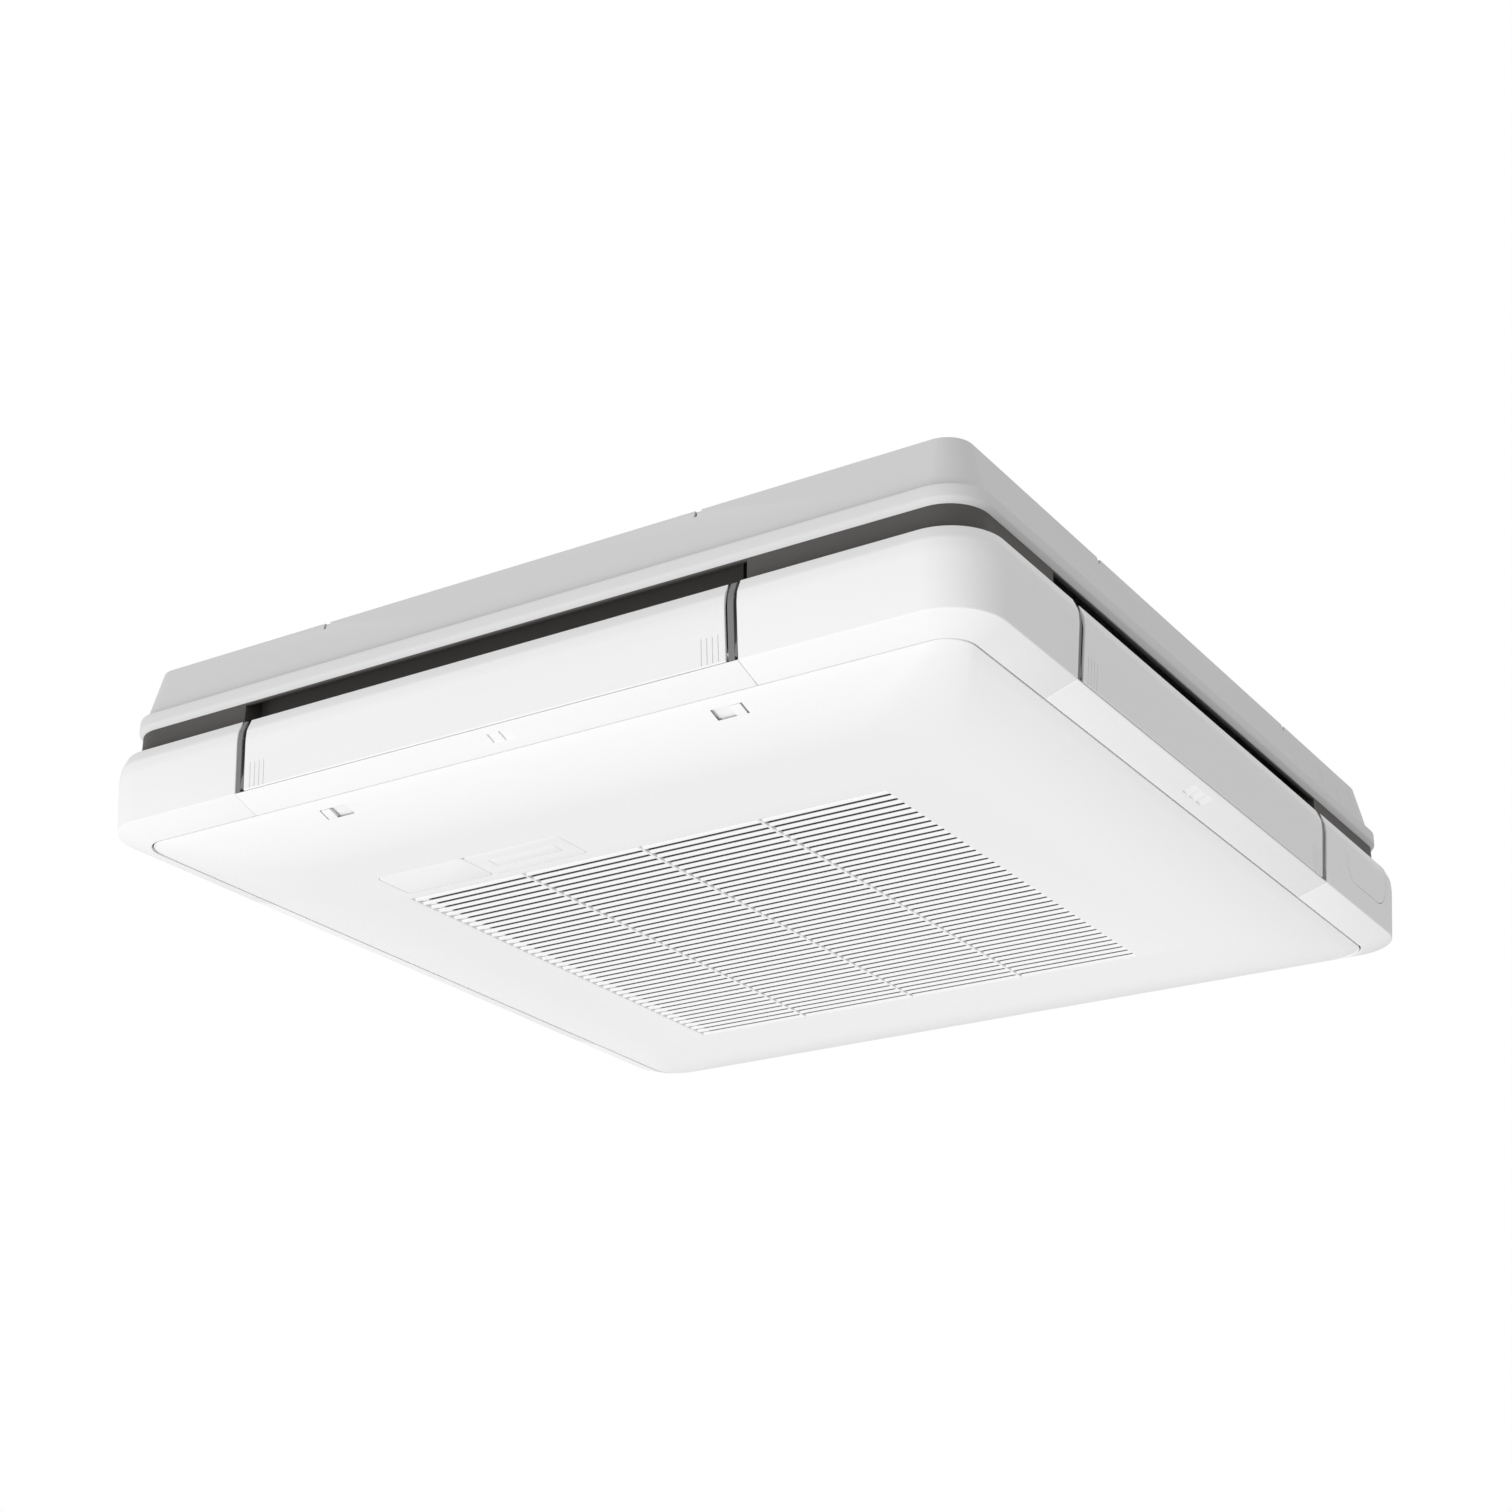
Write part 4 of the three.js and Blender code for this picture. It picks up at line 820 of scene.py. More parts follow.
@dataclass
class OutletBand(Piece):
    """The dark ring behind the outlet gap, with a window for each flap."""

    wall: float = 3.0
    top: float = -56.0
    foot: float = -158.2
    reach: tuple[Flat, ...] = ((20.7, 8.6), (20.7, 28.8), (20.7, 8.6), (20.7, 28.8))
    window: Flat = (-155.0, -70.0)
    motor_room: float = 10.0
    pipe_window: Box = (308.0, 410.0, -149.0, -100.0)
    lining: Box = (20.9, 38.0, -84.0, -56.0)
    recess: Flat = (16.8, 8.0)
    lining_wall: float = 2.0

    def build(self) -> None:
        """Builds and dresses the ring and the duct mouths behind its windows."""
        outer = HALF - BAND_INSET
        inner = outer - self.wall
        section = [Knee(outer, self.top), Knee(outer, self.foot, 0.4), Knee(inner, self.foot, 0.4)]
        shell = Shell()
        shell.ring(filleted([*section, Knee(inner, self.top)]))
        band = shell.object("outlet_band")
        cutter = Shell()
        for side, (start, reach) in enumerate(zip(FLAP_STARTS, self.reach)):
            end = start + FLAP_LENGTH
            self._cut(cutter, side, (start - reach[0], end + reach[1], *self.window))
            self._mouth(side, start - reach[0], end + reach[1])
            self._cut(cutter, side, (end, end + self.motor_room, self.foot - 1.0, self.window[0] + 1.0))
        self._cut(cutter, 1, self.pipe_window)
        carved(band, cutter, crossing=True)
        dressed(band, Body.UNIT, [OUTLET_DARK], "outlet_frame")

    def _mouth(self, side: int, u0: float, u1: float) -> None:
        """Builds the upper wall of the duct's mouth, with a recess near its end; its pale grey paints light
        into the shaded recess.
        """
        near, far, low, high = self.lining
        wide, deep = self.recess
        wall, turn, back = self.lining_wall, u1 - wide, far + deep
        plan = [
            (u0, near), (u0, far), (turn, far), (turn, back), (u1, back), (u1, near), (u1 + wall, near),
            (u1 + wall, back + wall), (turn - wall, back + wall), (turn - wall, far + wall),
            (u0 - wall, far + wall), (u0 - wall, near),
        ]
        shell = Shell()
        # the lining's pale grey is painted light
        shell.prism([spun(u, inset - HALF, side) for u, inset in plan], low, high, tint=1)
        dressed(shell.object(f"duct_mouth_{SIDES[side]}"), Body.UNIT, [OUTLET_DARK, DUCT_PAINTED_LIGHT])

    def _cut(self, cutter: Shell, side: int, box: Box) -> None:
        """Adds a cutting block of (from, to, low, high) through the wall of a side."""
        near, far, low, high = box
        outer = HALF - BAND_INSET
        (ax, ay), (bx, by) = (spun(u, -out, side) for u, out in ((near, outer + 5), (far, outer - 15)))
        cutter.block((min(ax, bx), min(ay, by), low), (max(ax, bx), max(ay, by), high))


@dataclass
class LowerMouldings(Piece):
    """Corner covers, side rims and flaps, which share the lines of the lower panel."""

    panel_top: Flat = (5.6, 94.2)
    bend: Flat = (0.6, 106.2)
    widest: float = 116.5
    wall_foot: Flat = (3.85, 167.4)
    seam: Flat = (34.3, 178.0)
    seam_radius: float = 27.0
    frame_foot: float = 161.5
    web: float = 16.5
    slot: float = 10.0
    straight: float = 380.0
    bead: float = 4.1
    flap_foot: float = 165.8
    flap_short: float = 1.2
    lip_inset: float = 4.3
    knockout: Box = (302.6, 411.8, 145.0, 24.0)
    knockout_gap: float = 0.55
    marks: tuple[tuple[float, ...], ...] = ((-3.3, 9.3), (-45.2, -31.1, -15.9))
    mark: Box = (11.5, 23.0, 12.0, 1.8)
    grips: tuple[float, float, int, float] = (7.0, 23.7, 4, 5.5)
    grip_levels: Point = (-139.5, -142.0, -164.4)
    grip_cut: Flat = (0.8, 1.0)
    pin: Point = (2.2, 8.5, 2.0)

    def bevel(self, shift: float = 0.0) -> list[Knee]:
        """Returns the bevel from the panel's top edge down to its widest line."""
        lines = ((self.panel_top, 0.8), (self.bend, 1.8), ((0.0, self.widest), 3.5))
        return [Knee(HALF - inset, -depth + shift, round_by) for (inset, depth), round_by in lines]

    def rim_level(self, inset: float, over: float = 0.0) -> float:
        """Returns the level of the rim's lower face at an inset, or over it."""
        slope = (self.seam[1] - self.wall_foot[1]) / (self.seam[0] - self.wall_foot[0])
        return -(self.wall_foot[1] + (inset - self.wall_foot[0]) * slope) + over

    def seat(self) -> list[Knee]:
        """Returns the part of a section from the seam up to the web that stands on the frame."""
        out, level = line(*self.seam)
        web, top = HALF - self.web, -self.frame_foot - FIT
        return [
            Knee(out, level, 0.9, self.seam_radius),
            Knee(out, level + SKIN + 0.6, 0.3, self.seam_radius),
            Knee(web - SKIN, self.rim_level(self.web + SKIN, SKIN)),
            Knee(web - SKIN, top),
            Knee(web, top),
            Knee(web, self.rim_level(self.web, SKIN)),
        ]

    def cover_section(self) -> list[Knee]:
        """Returns the section of a corner cover."""
        wall, level = line(*self.wall_foot)
        return filleted([
            *self.bevel(),
            Knee(wall, level, 1.0),
            *self.seat(),
            Knee(wall - SKIN, level + SKIN),
            Knee(HALF - SKIN, -self.widest),
            Knee(HALF - self.panel_top[0] - SKIN + 0.5, -self.panel_top[1] - 3),
        ])

    def rim_section(self) -> list[Knee]:
        """Returns the section of a side rim, whose lip reaches out under the flap's foot."""
        lip, clear = self.lip_inset, PIVOT[0] + 1.4
        return filleted([
            Knee(HALF - lip, self.rim_level(lip), 0.5),
            *self.seat(),
            Knee(HALF - clear, self.rim_level(clear, 1.9)),
            Knee(HALF - lip - 1.6, self.rim_level(lip, 1.1)),
            Knee(HALF - lip, self.rim_level(lip, 1.1), 0.4),
        ])

    def flap_section(self) -> list[Knee]:
        """Returns the section of a flap, whose lower edge is a round bead about its pivot."""
        out, level = line(*PIVOT)
        turns = [math.pi * (1.42 - 0.08 * i) for i in range(11)]
        foot = HALF - self.wall_foot[0] + 0.15
        return filleted([
            *self.bevel(shift=-0.7),
            Knee(foot, -self.flap_foot, 1.0),
            Knee(foot - SKIN, -self.flap_foot, 0.3),
            *(Knee(out + self.bead * math.cos(t), level + self.bead * math.sin(t)) for t in turns),
            Knee(HALF - 3.7 - SKIN - 0.2, level + self.bead + 2),
            Knee(HALF - SKIN, -self.widest),
            Knee(HALF - self.panel_top[0] - SKIN + 0.8, -self.panel_top[1] - 3.5, 0.4),
        ])

    def build(self) -> None:
        """Builds and dresses covers, rims and flaps."""
        for side in range(4):
            self.cover(side)
            self.rim(side)
            self.flap(side)

    def cover(self, side: int) -> None:
        """Builds the corner cover between a side and the next, and its knock-out where it has one."""
        after = (side + 1) % 4
        right = FLAP_STARTS[side] + FLAP_LENGTH + self.slot + FIT / 2
        left = FLAP_STARTS[after] - self.slot - FIT / 2
        spots = [Spot(side, right), Spot(side, self.straight), *corner_spots(side)]
        spots += [Spot(after, -self.straight), Spot(after, left)]
        shell = Shell()
        shell.bar(self.cover_section(), spots, 0.9)
        cover = shell.object(f"corner_cover_skin_{CORNERS[side]}")
        if side == 1:
            carved(cover, self._plug(0.0))
            plate = shell.object("knockout_plate")
            carved(plate, self._plug(self.knockout_gap), cut=Cut.KEEP)
            dressed(plate, Body.UNIT, [PANEL_WHITE], "pipe_cover")
        dressed(cover, Body.UNIT, [PANEL_WHITE], f"corner_cover_{CORNERS[side]}")

    def _plug(self, gap: float) -> Shell:
        """Returns the knock-out's solid through the wall of side 1, smaller by a gap."""
        y0, y1, foot, radius = self.knockout
        outline = rounded(y0 + gap, y1 - gap, -foot + gap, 0.0, radius, 8)
        plug = Shell()
        plug.loft([plug.put((x, y, z) for y, z in outline) for x in (HALF - 14, HALF + 5)])
        return plug

    def rim(self, side: int) -> None:
        """Builds a side rim with its sloping finger marks."""
        start = FLAP_STARTS[side] - self.slot + FIT / 2
        end = FLAP_STARTS[side] + FLAP_LENGTH + self.slot - FIT / 2
        shell = Shell()
        shell.bar(self.rim_section(), [Spot(side, start), Spot(side, end)], 0.3)
        rim = shell.object(f"rim_{SIDES[side]}")
        if side < len(self.marks):
            cutter = Shell()
            for u in self.marks[side]:
                self._mark(cutter, side, u - 5.5)
            carved(rim, cutter)
        dressed(rim, Body.UNIT, [PANEL_WHITE], f"side_rim_{SIDES[side]}")

    def _mark(self, cutter: Shell, side: int, u: float) -> None:
        """Adds a mark that is deep at its start and runs out along the rim."""
        near, far, length, deep = self.mark
        low = [(HALF - inset, self.rim_level(inset) - 3) for inset in (far, near)]
        ends = [
            (along, [*((HALF - inset, self.rim_level(inset, bite)) for inset in (near, far)), *low])
            for along, bite in ((u, deep), (u + length, 0.02))
        ]
        cutter.strip(side, ends)

    def flap(self, side: int) -> None:
        """Builds a flap with its pins and its groups of grip grooves."""
        start = FLAP_STARTS[side] + FIT
        end = start + FLAP_LENGTH - 2 * FIT - self.flap_short
        section = self.flap_section()
        shell = Shell()
        # the ends, the inner strips and the pins take the dark finish, which paints the shade of the slots
        shell.bar(section, [Spot(side, start), Spot(side, end)], 0.7, inner=len(section) - 4)
        flap = shell.object(f"flap_blade_{SIDES[side]}")
        for finish in (PANEL_WHITE, FLAP_SHADE_DARK):
            flap.data.materials.append(finish.material())
        after_start, before_end, count, pitch = self.grips
        cutter = Shell()
        for first in (start + after_start, end - before_end):
            for i in range(count):
                self._groove(cutter, side, first + pitch * i)
        carved(flap, cutter)
        radius, reach, hold = self.pin
        pins = Shell()
        for u0, u1 in ((start - reach, start + hold), (end - hold, end + reach)):
            pins.rod(radius, line(*PIVOT), side, u0, u1, 1)
        joined(flap, pins)
        dressed(flap, Body(f"{SIDES[side]}_flap"), [PANEL_WHITE, FLAP_SHADE_DARK], f"flap_{SIDES[side]}")

    def _groove(self, cutter: Shell, side: int, u: float) -> None:
        """Adds a grip groove that follows the flap's sloping wall and runs out at its top."""
        wide, deep = self.grip_cut
        top, _, foot = self.grip_levels
        slope = self.wall_foot[0] / (self.wall_foot[1] - self.widest)
        outline = [
            (HALF - slope * (-level - self.widest) - bite, level)
            for level, bite in zip(self.grip_levels, (0.05, deep, deep))
        ]
        cutter.slab([*outline, (HALF + 3.0, foot), (HALF + 3.0, top)], side, u, u + wide)


@dataclass
class FlapBearings(Piece):
    """The plates that carry the flaps' pins in the slots, with a grey cheek whose grey is painted shade, and
    the swing motors.
    """

    frame_top: float = -158.5
    frame_inset: float = 13.0
    thick: float = 8.6
    side_gap: float = 0.7
    motor: Point = (37.0, 21.5, 13.0)
    house: tuple[Flat, ...] = ((36.0, 0.0), (50.0, 8.2), (50.0, 34.2), (40.0, 44.2))
    cheek_face: tuple[Flat, ...] = ((5.4, 95.0), (0.8, 107.0), (0.2, 117.0), (3.8, 165.9))
    cheek_depth: Flat = (0.8, 2.4)
    rib: tuple[Flat, ...] = ((1.8, 110.0), (7.0, 110.0), (7.0, 140.0), (3.0, 140.0))
    screws: Box = (0.7, 2.4, 4.1, 5.6)
    screw_ring: float = 17.0

    def outline(self, inner: Sequence[Flat]) -> list[Flat]:
        """Returns a plate's outline of (out, level), closed by its inner part."""
        out, z = line(*PIVOT)
        nose = HALF - self.frame_inset + 0.9
        return [
            *inner, (HALF - 14, -97.0), (HALF - 9.5, -97.0), (HALF - 6.5, -106.0), (HALF - 6, z + 10.5),
            (out + 3.6, z + 5.5), (out + 3.6, z - 4.4), (nose, z - 4.4), (nose, self.frame_top + FIT),
        ]

    def plate(self, side: int, inner: Sequence[Flat], start: float, cheek: Flat, rib: Flat) -> Shell:
        """Makes a plate with its cheek, which follows the outer face, and its rib.

        Args:
            side: the side that it stands on.
            inner: the inner part of its outline.
            start: its place along the side.
            cheek: the span of its cheek from there.
            rib: the span of its rib from there.

        Returns:
            The shell.
        """
        near, far = self.cheek_depth
        face = [line(inset + near, level) for inset, level in self.cheek_face]
        back = [line(inset + far, level) for inset, level in reversed(self.cheek_face)]
        shell = Shell()
        shell.slab(self.outline(inner), side, start, start + self.thick, 1)
        shell.slab(face + back, side, *(start + u for u in cheek))
        shell.slab([line(*corner) for corner in self.rib], side, *(start + u for u in rib))
        return shell

    def build(self) -> None:
        """Builds the bearing at each end of each flap."""
        foot = self.frame_top + FIT
        band = HALF - BAND_INSET + FIT
        house = [(HALF - inset, foot + rise) for inset, rise in self.house]
        back, up, radius = self.motor
        place = (HALF - back, self.frame_top + up)
        for side, start in enumerate(FLAP_STARTS):
            first = start - self.side_gap - self.thick
            shell = self.plate(side, [(band, foot), (band, -100.0)], first, (-0.2, 4.6), (0.1, 1.9))
            self._dress(shell.object(f"flap_bearing_{SIDES[side]}"), f"flap_bushing_{SIDES[side]}")
            end = start + FLAP_LENGTH + self.side_gap
            shell = self.plate(side, house, end, (0.1, 5.9), (1.2, 3.0))
            shell.rod(radius, place, side, end + 4, end + 30, 1)
            shell.rod(radius - 4, place, side, end + 29, end + 32, 1)
            for turn in self.screws:
                out = place[0] + self.screw_ring * math.cos(turn)
                level = place[1] + self.screw_ring * math.sin(turn)
                if level > foot + 3 and out < HALF - 20:
                    shell.rod(2.0, (out, level), side, end + self.thick - 1, end + self.thick + 1.6, 1)
            self._dress(shell.object(f"flap_motor_{SIDES[side]}"), f"swing_motor_{SIDES[side]}")

    def _dress(self, obj: bpy.types.Object, node: str) -> None:
        """Dresses a bearing in grey, with the parts behind the cheek in the outlet's colour; the grey and
        the dark paint the shade in the slot.
        """
        dressed(obj, Body.UNIT, [GREY_PLASTIC_AND_SLOT_SHADE, OUTLET_DARK], node)


@dataclass
class SuctionPanel(Piece):
    """The bulged panel with its louvred grille, the inlaid covers, the bare badge and the latches."""

    edge: float = 439.1
    edge_radius: float = 25.4
    seam_depth: float = 178.0
    reach: float = 95.0
    rise: float = 8.0
    spread: float = 0.55
    smooth_deg: float = 25.0
    grille: Box = (-275.6, 255.1, -238.2, 274.6)
    dividers: Point = (-142.1, -7.7, 122.9)
    divider: float = 2.8
    slats: int = 43
    pitch: float = 11.993
    first_slat: float = -229.7
    slat: tuple[Flat, ...] = ((0.0, 0.15), (0.6, 0.12), (4.06, 1.8), (4.06, 2.25), (0.3, 2.25))
    ledge: Box = (9.4, 3.0, 4.0, 0.8)
    covers: Box = (-268.2, -54.4, -299.1, -249.5)
    cover_gap: float = 0.55
    cover_radius: float = 5.6
    split: float = -165.1
    inlay: float = 1.5
    badge: Box = (-109.0, -273.8, 74.8, 14.1)
    badge_well: float = 0.9
    badge_thick: float = 0.6
    latch_inset: float = 53.1
    latch_xs: Flat = (-211.4, 214.1)
    latch_size: Point = (31.0, 13.5, 2.4)
    knob: Point = (5.25, 1.5, 0.7)
    hinge_xs: Flat = (-250.0, 250.0)
    hinge: Flat = (425.0, -177.0)

    def bulge(self, out: float) -> float:
        """Returns the level of the panel's outer face at a distance out from the middle."""
        t = min(1.0, (self.edge - out) / self.reach)
        return -self.seam_depth - (HEIGHT - self.seam_depth) * (1 - (1 - t) ** 2)

    def build(self) -> None:
        """Builds and dresses the panel and what it carries."""
        shell = Shell()
        low, high = -HEIGHT, -HEIGHT + SKIN
        outer, inner = self._rims(shell)
        shell.skin([*reversed(inner), *outer])
        mouths, backs = self._openings(shell, low, high)
        floor = low + self.inlay + FIT
        pocket = [shell.put((x, y, z) for x, y in rounded(*self.covers, 6.0)) for z in (low, floor)]
        shell.skin(pocket)
        shell.face(pocket[1])
        shell.sheet([outer[-1], pocket[0], *mouths])
        shell.sheet([inner[-1], *backs])
        panel = shell.object("louvred_panel", self.smooth_deg)
        self._latch_recesses(panel)
        self._slats(panel, low)
        self._hinges(panel)
        dressed(panel, Body.PANEL, [PANEL_WHITE], "suction_panel")
        self._covers(low)
        for x, name, body in zip(self.latch_xs, ("left", "right"), (Body.LEFT_LATCH, Body.RIGHT_LATCH)):
            self._knob(x, name, body)

    def _rims(self, shell: Shell) -> tuple[list[list[int]], list[list[int]]]:
        """Adds the rounded squares that the bulged border runs through.

        Args:
            shell: the panel's shell.

        Returns:
            The rims of the outer face and those of the inner face, from the edge inwards.
        """
        edge, radius, top = self.edge, self.edge_radius, -self.seam_depth + self.rise
        steps = 16
        outside = [Knee(edge - 0.3, top, 0.0, radius), Knee(edge, top - 0.4, 0.0, radius)]
        for drop, rise in ((0.6, 0.0), (0.2, 0.35), (0.0, 1.1)):
            outside.append(Knee(edge - drop, -self.seam_depth + rise, 0.0, radius))
        for i in range(1, steps + 1):
            out = edge - self.reach * (0.01 + 0.99 * i / steps)
            outside.append(Knee(out, self.bulge(out), 0.0, radius + (edge - out) * self.spread))
        inside = [Knee(edge - SKIN + 0.3, top, 0.0, radius - SKIN)]
        for i in range(0, steps + 1, 2):
            out = edge - SKIN - (self.reach - SKIN) * i / steps
            plan = radius - SKIN + (edge - SKIN - out) * self.spread
            inside.append(Knee(out, self.bulge(out) + SKIN, 0.0, plan))
        spots = ring_spots()
        outer = [shell.put(knee.at(spot) for spot in spots) for knee in outside]
        inner = [shell.put(knee.at(spot) for spot in spots) for knee in inside]
        return outer, inner

    def _openings(self, shell: Shell, low: float, high: float) -> tuple[list[list[int]], list[list[int]]]:
        """Adds the walls of the opening of each column of slats.

        Args:
            shell: the panel's shell.
            low: level of the outer face.
            high: level of the inner face.

        Returns:
            The outer and the inner rims of the openings.
        """
        x0, x1, y0, y1 = self.grille
        starts = [x0, *(x + self.divider / 2 for x in self.dividers)]
        ends = [*(x - self.divider / 2 for x in self.dividers), x1]
        mouths, backs = [], []
        for a, b in zip(starts, ends):
            rims = []
            for rise, wide in ((0.0, 0.3), (0.08, 0.09), (0.3, 0.0), (high - low, 0.0)):
                left, right, front, back = a - wide, b + wide, y0 - wide, y1 + wide
                corners = ((left, front), (right, front), (right, back), (left, back))
                rims.append(shell.put((x, y, low + rise) for x, y in corners))
            shell.skin(rims)
            mouths.append(rims[0])
            backs.append(rims[-1])
        return mouths, backs

    def _slats(self, panel: bpy.types.Object, low: float) -> None:
        """Adds the slats, whose lower faces slope up towards the front, and the filter's seat."""
        x0, x1, y0, y1 = self.grille
        extra = Shell()
        for i in range(self.slats):
            out = -self.first_slat - i * self.pitch
            extra.slab([(out + ahead, low + z) for ahead, z in self.slat], 0, x0 - 0.4, x1 + 0.4)
        left, right, front, back = self.ledge
        seat = (x0 - 5, x1 + 5, y0 - 5, y1 + 8)
        extra.border(seat, (x0 + left, x1 - right, y0 + front, y1 - back), low + 2.9, low + 4.4)
        extra.border(seat, (x0 - 3, x1 + 3, y0 - 3, y1 + 6), low + 4.3, low + 9)
        joined(panel, extra)

    def _latch_place(self, x: float) -> Matrix:
        """Returns the place of a latch on the sloping face, in millimetres."""
        out = HALF - self.latch_inset
        slope = math.atan((self.bulge(out - 1) - self.bulge(out + 1)) / 2)
        return Matrix.Translation((x, -out, self.bulge(out))) @ Matrix.Rotation(slope, 4, "X")

    def _latch_recesses(self, panel: bpy.types.Object) -> None:
        """Cuts the two latch recesses and the room for the hinge lugs."""
        length, width, deep = self.latch_size
        y, z = self.hinge
        cutter = Shell()
        for x in self.latch_xs:
            block = Shell()
            block.block((-length / 2, -width / 2, -4.0), (length / 2, width / 2, deep))
            place = self._latch_place(x)
            ids = cutter.put(tuple(place @ Vector(p)) for p in block.points)
            for face in block.faces:
                cutter.face(ids[i] for i in face)
        for x in self.hinge_xs:
            cutter.block((x - 2.8, y, z - 0.5), (x + 2.8, self.edge + 1, z + 9))
        carved(panel, cutter, self.smooth_deg)

    def _hinges(self, panel: bpy.types.Object) -> None:
        """Adds the ribs and pins that turn in the frame's lugs."""
        y, z = self.hinge
        near, far = y - 5, self.edge - 1
        outline = [(near, z + 3.5), (far, z + 3.5), (far, self.bulge(far) + 1), (near, self.bulge(near) + 1)]
        extra = Shell()
        for x in self.hinge_xs:
            for start in (-x - 5.8, -x + 2.8):
                extra.slab(outline, 2, start, start + 3)
            extra.rod(1.3, (y, z), 2, -x - 3.8, -x + 3.8)
        joined(panel, extra)

    def _covers(self, low: float) -> None:
        """Builds the two inlaid covers and the bare badge plate."""
        x0, x1, y0, y1 = self.covers
        gap, radius = self.cover_gap, self.cover_radius
        sensor = Shell()
        outline = rounded(x0 + gap, self.split - gap / 2, y0 + gap, y1 - gap, radius)
        sensor.prism(outline, low, low + self.inlay, 0.3)
        dressed(sensor.object("sensor_inlay"), Body.PANEL, [PANEL_WHITE], "sensor_cover")
        x, y, length, width = self.badge
        a, b, c, d = x - length / 2, x + length / 2, y - width / 2, y + width / 2
        cover = Shell()
        outline = rounded(self.split + gap / 2, x1 - gap, y0 + gap, y1 - gap, radius)
        knees = [Knee(u, v, 0.0, 1.0) for u, v in outline]
        rows = []
        for rise, inset in ((0.0, 0.3), (0.05, 0.12), (0.14, 0.04), (0.3, 0.0), (self.inlay, 0.0)):
            rows.append(cover.put((k.out, k.level, low + rise) for k in shrunk(knees, inset)))
        cover.skin(rows)
        plate = rounded(a - gap, b + gap, c - gap, d + gap, 1.5, 4)
        well = [cover.put((u, v, low + rise) for u, v in plate) for rise in (0.0, self.badge_well)]
        cover.skin(well)
        cover.face(well[1])
        cover.face(rows[-1])
        cover.sheet([rows[0], well[0]])
        dressed(cover.object("badge_inlay"), Body.PANEL, [PANEL_WHITE], "badge_cover")
        bare = Shell()
        bare.prism(rounded(a, b, c, d, 1.4, 4), low, low + self.badge_thick, 0.15)
        dressed(bare.object("bare_badge"), Body.PANEL, [BADGE_WHITE], "badge_plate")

    def _knob(self, x: float, name: str, body: Body) -> None:
        """Builds one latch knob at the outer end of its recess."""
        length, width, deep = self.latch_size
        half, end_gap, proud = self.knob
        centre = math.copysign(1.0, x) * (length / 2 - end_gap - half)
        wide = width / 2 - FIT
        knob = Shell()
        knob.prism(rounded(centre - half, centre + half, -wide, wide, 1.2, 4), -proud, deep - FIT, 0.35)
        place = self._latch_place(x)
        knob.points = [tuple(place @ Vector(p)) for p in knob.points]
        dressed(knob.object(f"latch_{name}"), body, [PANEL_WHITE], f"latch_knob_{name}")


@dataclass
class AirFilter(Piece):
    """The filter that lies in its seat above the slats: a ribbed frame with a net."""

    box: Box = (-278.2, 257.7, -240.8, 280.2)
    rim: float = 8.0
    rib: float = 2.4
    bays: int = 4
    lift: float = 4.8

    def build(self) -> None:
        """Builds and dresses the filter."""
        x0, x1, y0, y1 = self.box
        low, rim, half = -HEIGHT + self.lift, self.rim, self.rib / 2
        a, b, c, d = x0 + rim, x1 - rim, y0 + rim, y1 - rim
        shell = Shell()
        shell.border(self.box, (a, b, c, d), low, low + 4.2)
        shell.block((a - 2, c - 2, low + 0.4), (b + 2, d + 2, low + 1.1), tint=1)
        for i in range(1, self.bays):
            x = x0 + (x1 - x0) * i / self.bays
            y = y0 + (y1 - y0) * i / self.bays
            shell.block((x - half, c - 1, low + 0.9), (x + half, d + 1, low + 4.0))
            shell.block((a - 1, y - half, low + 0.9), (b + 1, y + half, low + 3.8))
        dressed(shell.object("filter_frame"), Body.PANEL, [FILTER_BLACK, FILTER_NET], "air_filter")


CARRIED: dict[Finish, str] = {
    DUCT_FOAM: "foam_liner",
    FINS: "heat_exchanger",
    COPPER: "liquid_pipe gas_pipe",
    BRASS: "liquid_flare_nut gas_flare_nut",
    WHITE_FOAM: "drain_pan",
    GREY_PLASTIC_AND_SLOT_SHADE: "drain_pump float_switch drain_pipe terminal_block",
    FAN_BLACK: "bell_mouth impeller",
    RUBBER: "motor_cushion_1 motor_cushion_2 motor_cushion_3",
    BOARD: "circuit_board",
    PANEL_WHITE: "panel_frame",
}


@dataclass
class CarriedNodes(Piece):
    """Solids that keep their own shape and get a finish, which is zinc where no other is named."""

    smooth_deg: float = 35.0

    def build(self) -> None:
        """Dresses every solid that is still shown."""
        finishes = {name: finish for finish, names in CARRIED.items() for name in names.split()}
        for name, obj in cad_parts.items():
            if obj.hide_render:
                continue
            finish = finishes.get(name, ZINC)
            obj.data.materials.clear()
            obj.data.materials.append(finish.material())
            shaded(obj, self.smooth_deg)
            log.info("%s keeps its solid, finished in %s", name, finish.name)


# ---------------------------------------------------------------- studio
@dataclass
class SoftSun:
    """A broad far lamp, so that every flat face is lit evenly."""

    name: str
    towards: Point
    strength: float
    spread_deg: float = 50.0

    def build(self) -> None:
        """Makes the lamp, turned so that its light comes from the direction it names."""
        data = bpy.data.lights.new(self.name, "SUN")
        data.energy = self.strength
        data.angle = math.radians(self.spread_deg)
        lamp = placed(self.name, data)
        lamp.rotation_euler = Vector(self.towards).to_track_quat("Z", "Y").to_euler()


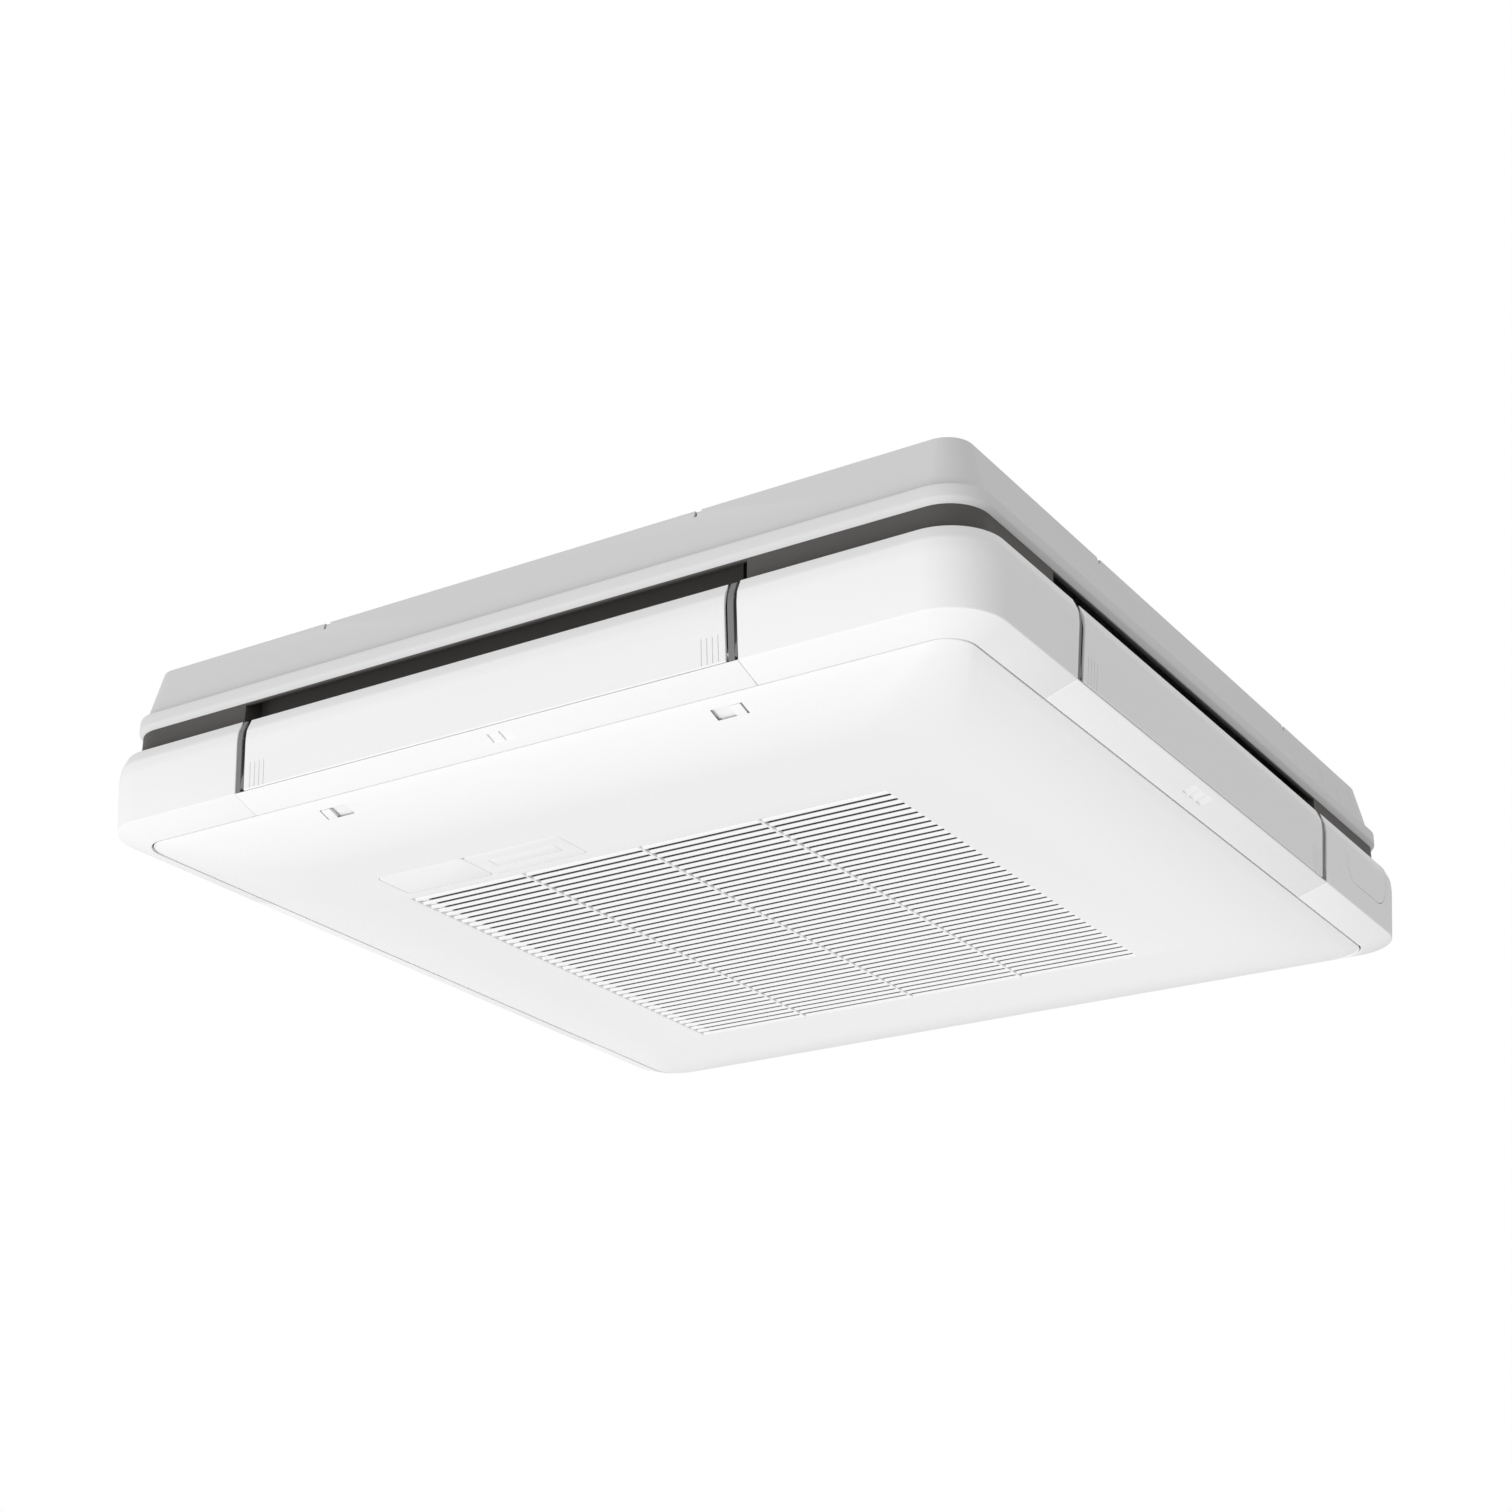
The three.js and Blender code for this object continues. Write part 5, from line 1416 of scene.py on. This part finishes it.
@dataclass
class Studio(Piece):
    """World, floor, lamps and camera."""

    ambient: float = 0.53
    floor_level: float = -2.4
    floor_half: float = 7.0
    lamps: tuple[SoftSun, ...] = (
        SoftSun("key_light", (-0.25, -0.68, -0.68), 1.85),
        SoftSun("top_light", (0.1, 0.3, 0.95), 0.5),
    )
    azimuth: float = 32.998
    elevation: float = -23.423
    roll: float = 0.761
    distance: float = 2569.2
    target: Point = (16.62, -77.4, -52.35)
    focal_px: float = 2610.8
    frame_px: float = 1512.0
    sensor: float = 36.0

    def build(self) -> None:
        """Builds the studio."""
        self._world()
        self._floor()
        for lamp in self.lamps:
            lamp.build()
        self._camera()
        bpy.context.scene.view_settings.view_transform = "Standard"

    def _world(self) -> None:
        """Makes the plain world, white where it is seen."""
        world = bpy.data.worlds.new("studio")
        bpy.context.scene.world = world
        graph = Graph(world)
        ray = graph.add("ShaderNodeLightPath")
        kinds = ("Camera", "Transmission", "Glossy")
        camera, through, mirrored = (ray.beside(f"Is {kind} Ray") for kind in kinds)
        seen = camera.most(through).most(mirrored)
        dim, white = (
            graph.add("ShaderNodeBackground", inputs={"Color": (1, 1, 1, 1), "Strength": strength})
            for strength in (self.ambient, 1.0)
        )
        mixed = graph.add("ShaderNodeMixShader", inputs={0: seen, 1: dim, 2: white})
        graph.add("ShaderNodeOutputWorld", inputs={"Surface": mixed})

    def _floor(self) -> None:
        """Makes the plain pale floor far below the unit."""
        shell = Shell()
        half, level = self.floor_half / MM, self.floor_level / MM
        corners = ((-half, -half), (half, -half), (half, half), (-half, half))
        shell.face(shell.put((x, y, level) for x, y in corners))
        floor = shell.object("studio_floor")
        material = bpy.data.materials.new("floor_pale")
        graph = Graph(material)
        clouds = graph.noise(900, 3.0)
        shades = ((0.80, 0.80, 0.80, 1.0), (0.84, 0.84, 0.84, 1.0))
        graph.surface(Base_Color=graph.blend(clouds, *shades), Roughness=0.85)
        floor.data.materials.append(material)
        floor.visible_shadow = False  # the key light comes from below and passes

    def _camera(self) -> None:
        """Places the camera at the photograph's angle."""
        az, el, roll = (math.radians(v) for v in (self.azimuth, self.elevation, self.roll))
        back = Vector((math.sin(az) * math.cos(el), -math.cos(az) * math.cos(el), math.sin(el)))
        right = (-back).cross(Vector((0.0, 0.0, 1.0))).normalized()
        up = right.cross(-back)
        right, up = (
            right * math.cos(roll) + up * math.sin(roll),
            up * math.cos(roll) - right * math.sin(roll),
        )
        data = bpy.data.cameras.new("camera")
        data.sensor_width = self.sensor
        data.lens = self.focal_px * self.sensor / self.frame_px
        data.clip_end = 50.0
        camera = placed("camera", data)
        place = (Vector(self.target) + back * self.distance) * MM
        turn = Matrix((right, up, back)).transposed()
        camera.matrix_world = Matrix.Translation(place) @ turn.to_4x4()
        bpy.context.scene.camera = camera


def main() -> None:
    """Builds every sub-assembly in order."""
    logging.basicConfig(level=logging.INFO, format="%(name)s %(message)s")
    pieces: list[Piece] = [
        Studio(), UpperCasing(), OutletBand(), LowerMouldings(),
        FlapBearings(), SuctionPanel(), AirFilter(), CarriedNodes(),
    ]
    for piece in pieces:
        log.info("building %s", type(piece).__name__)
        piece.build()


if __name__ == "__main__":
    main()
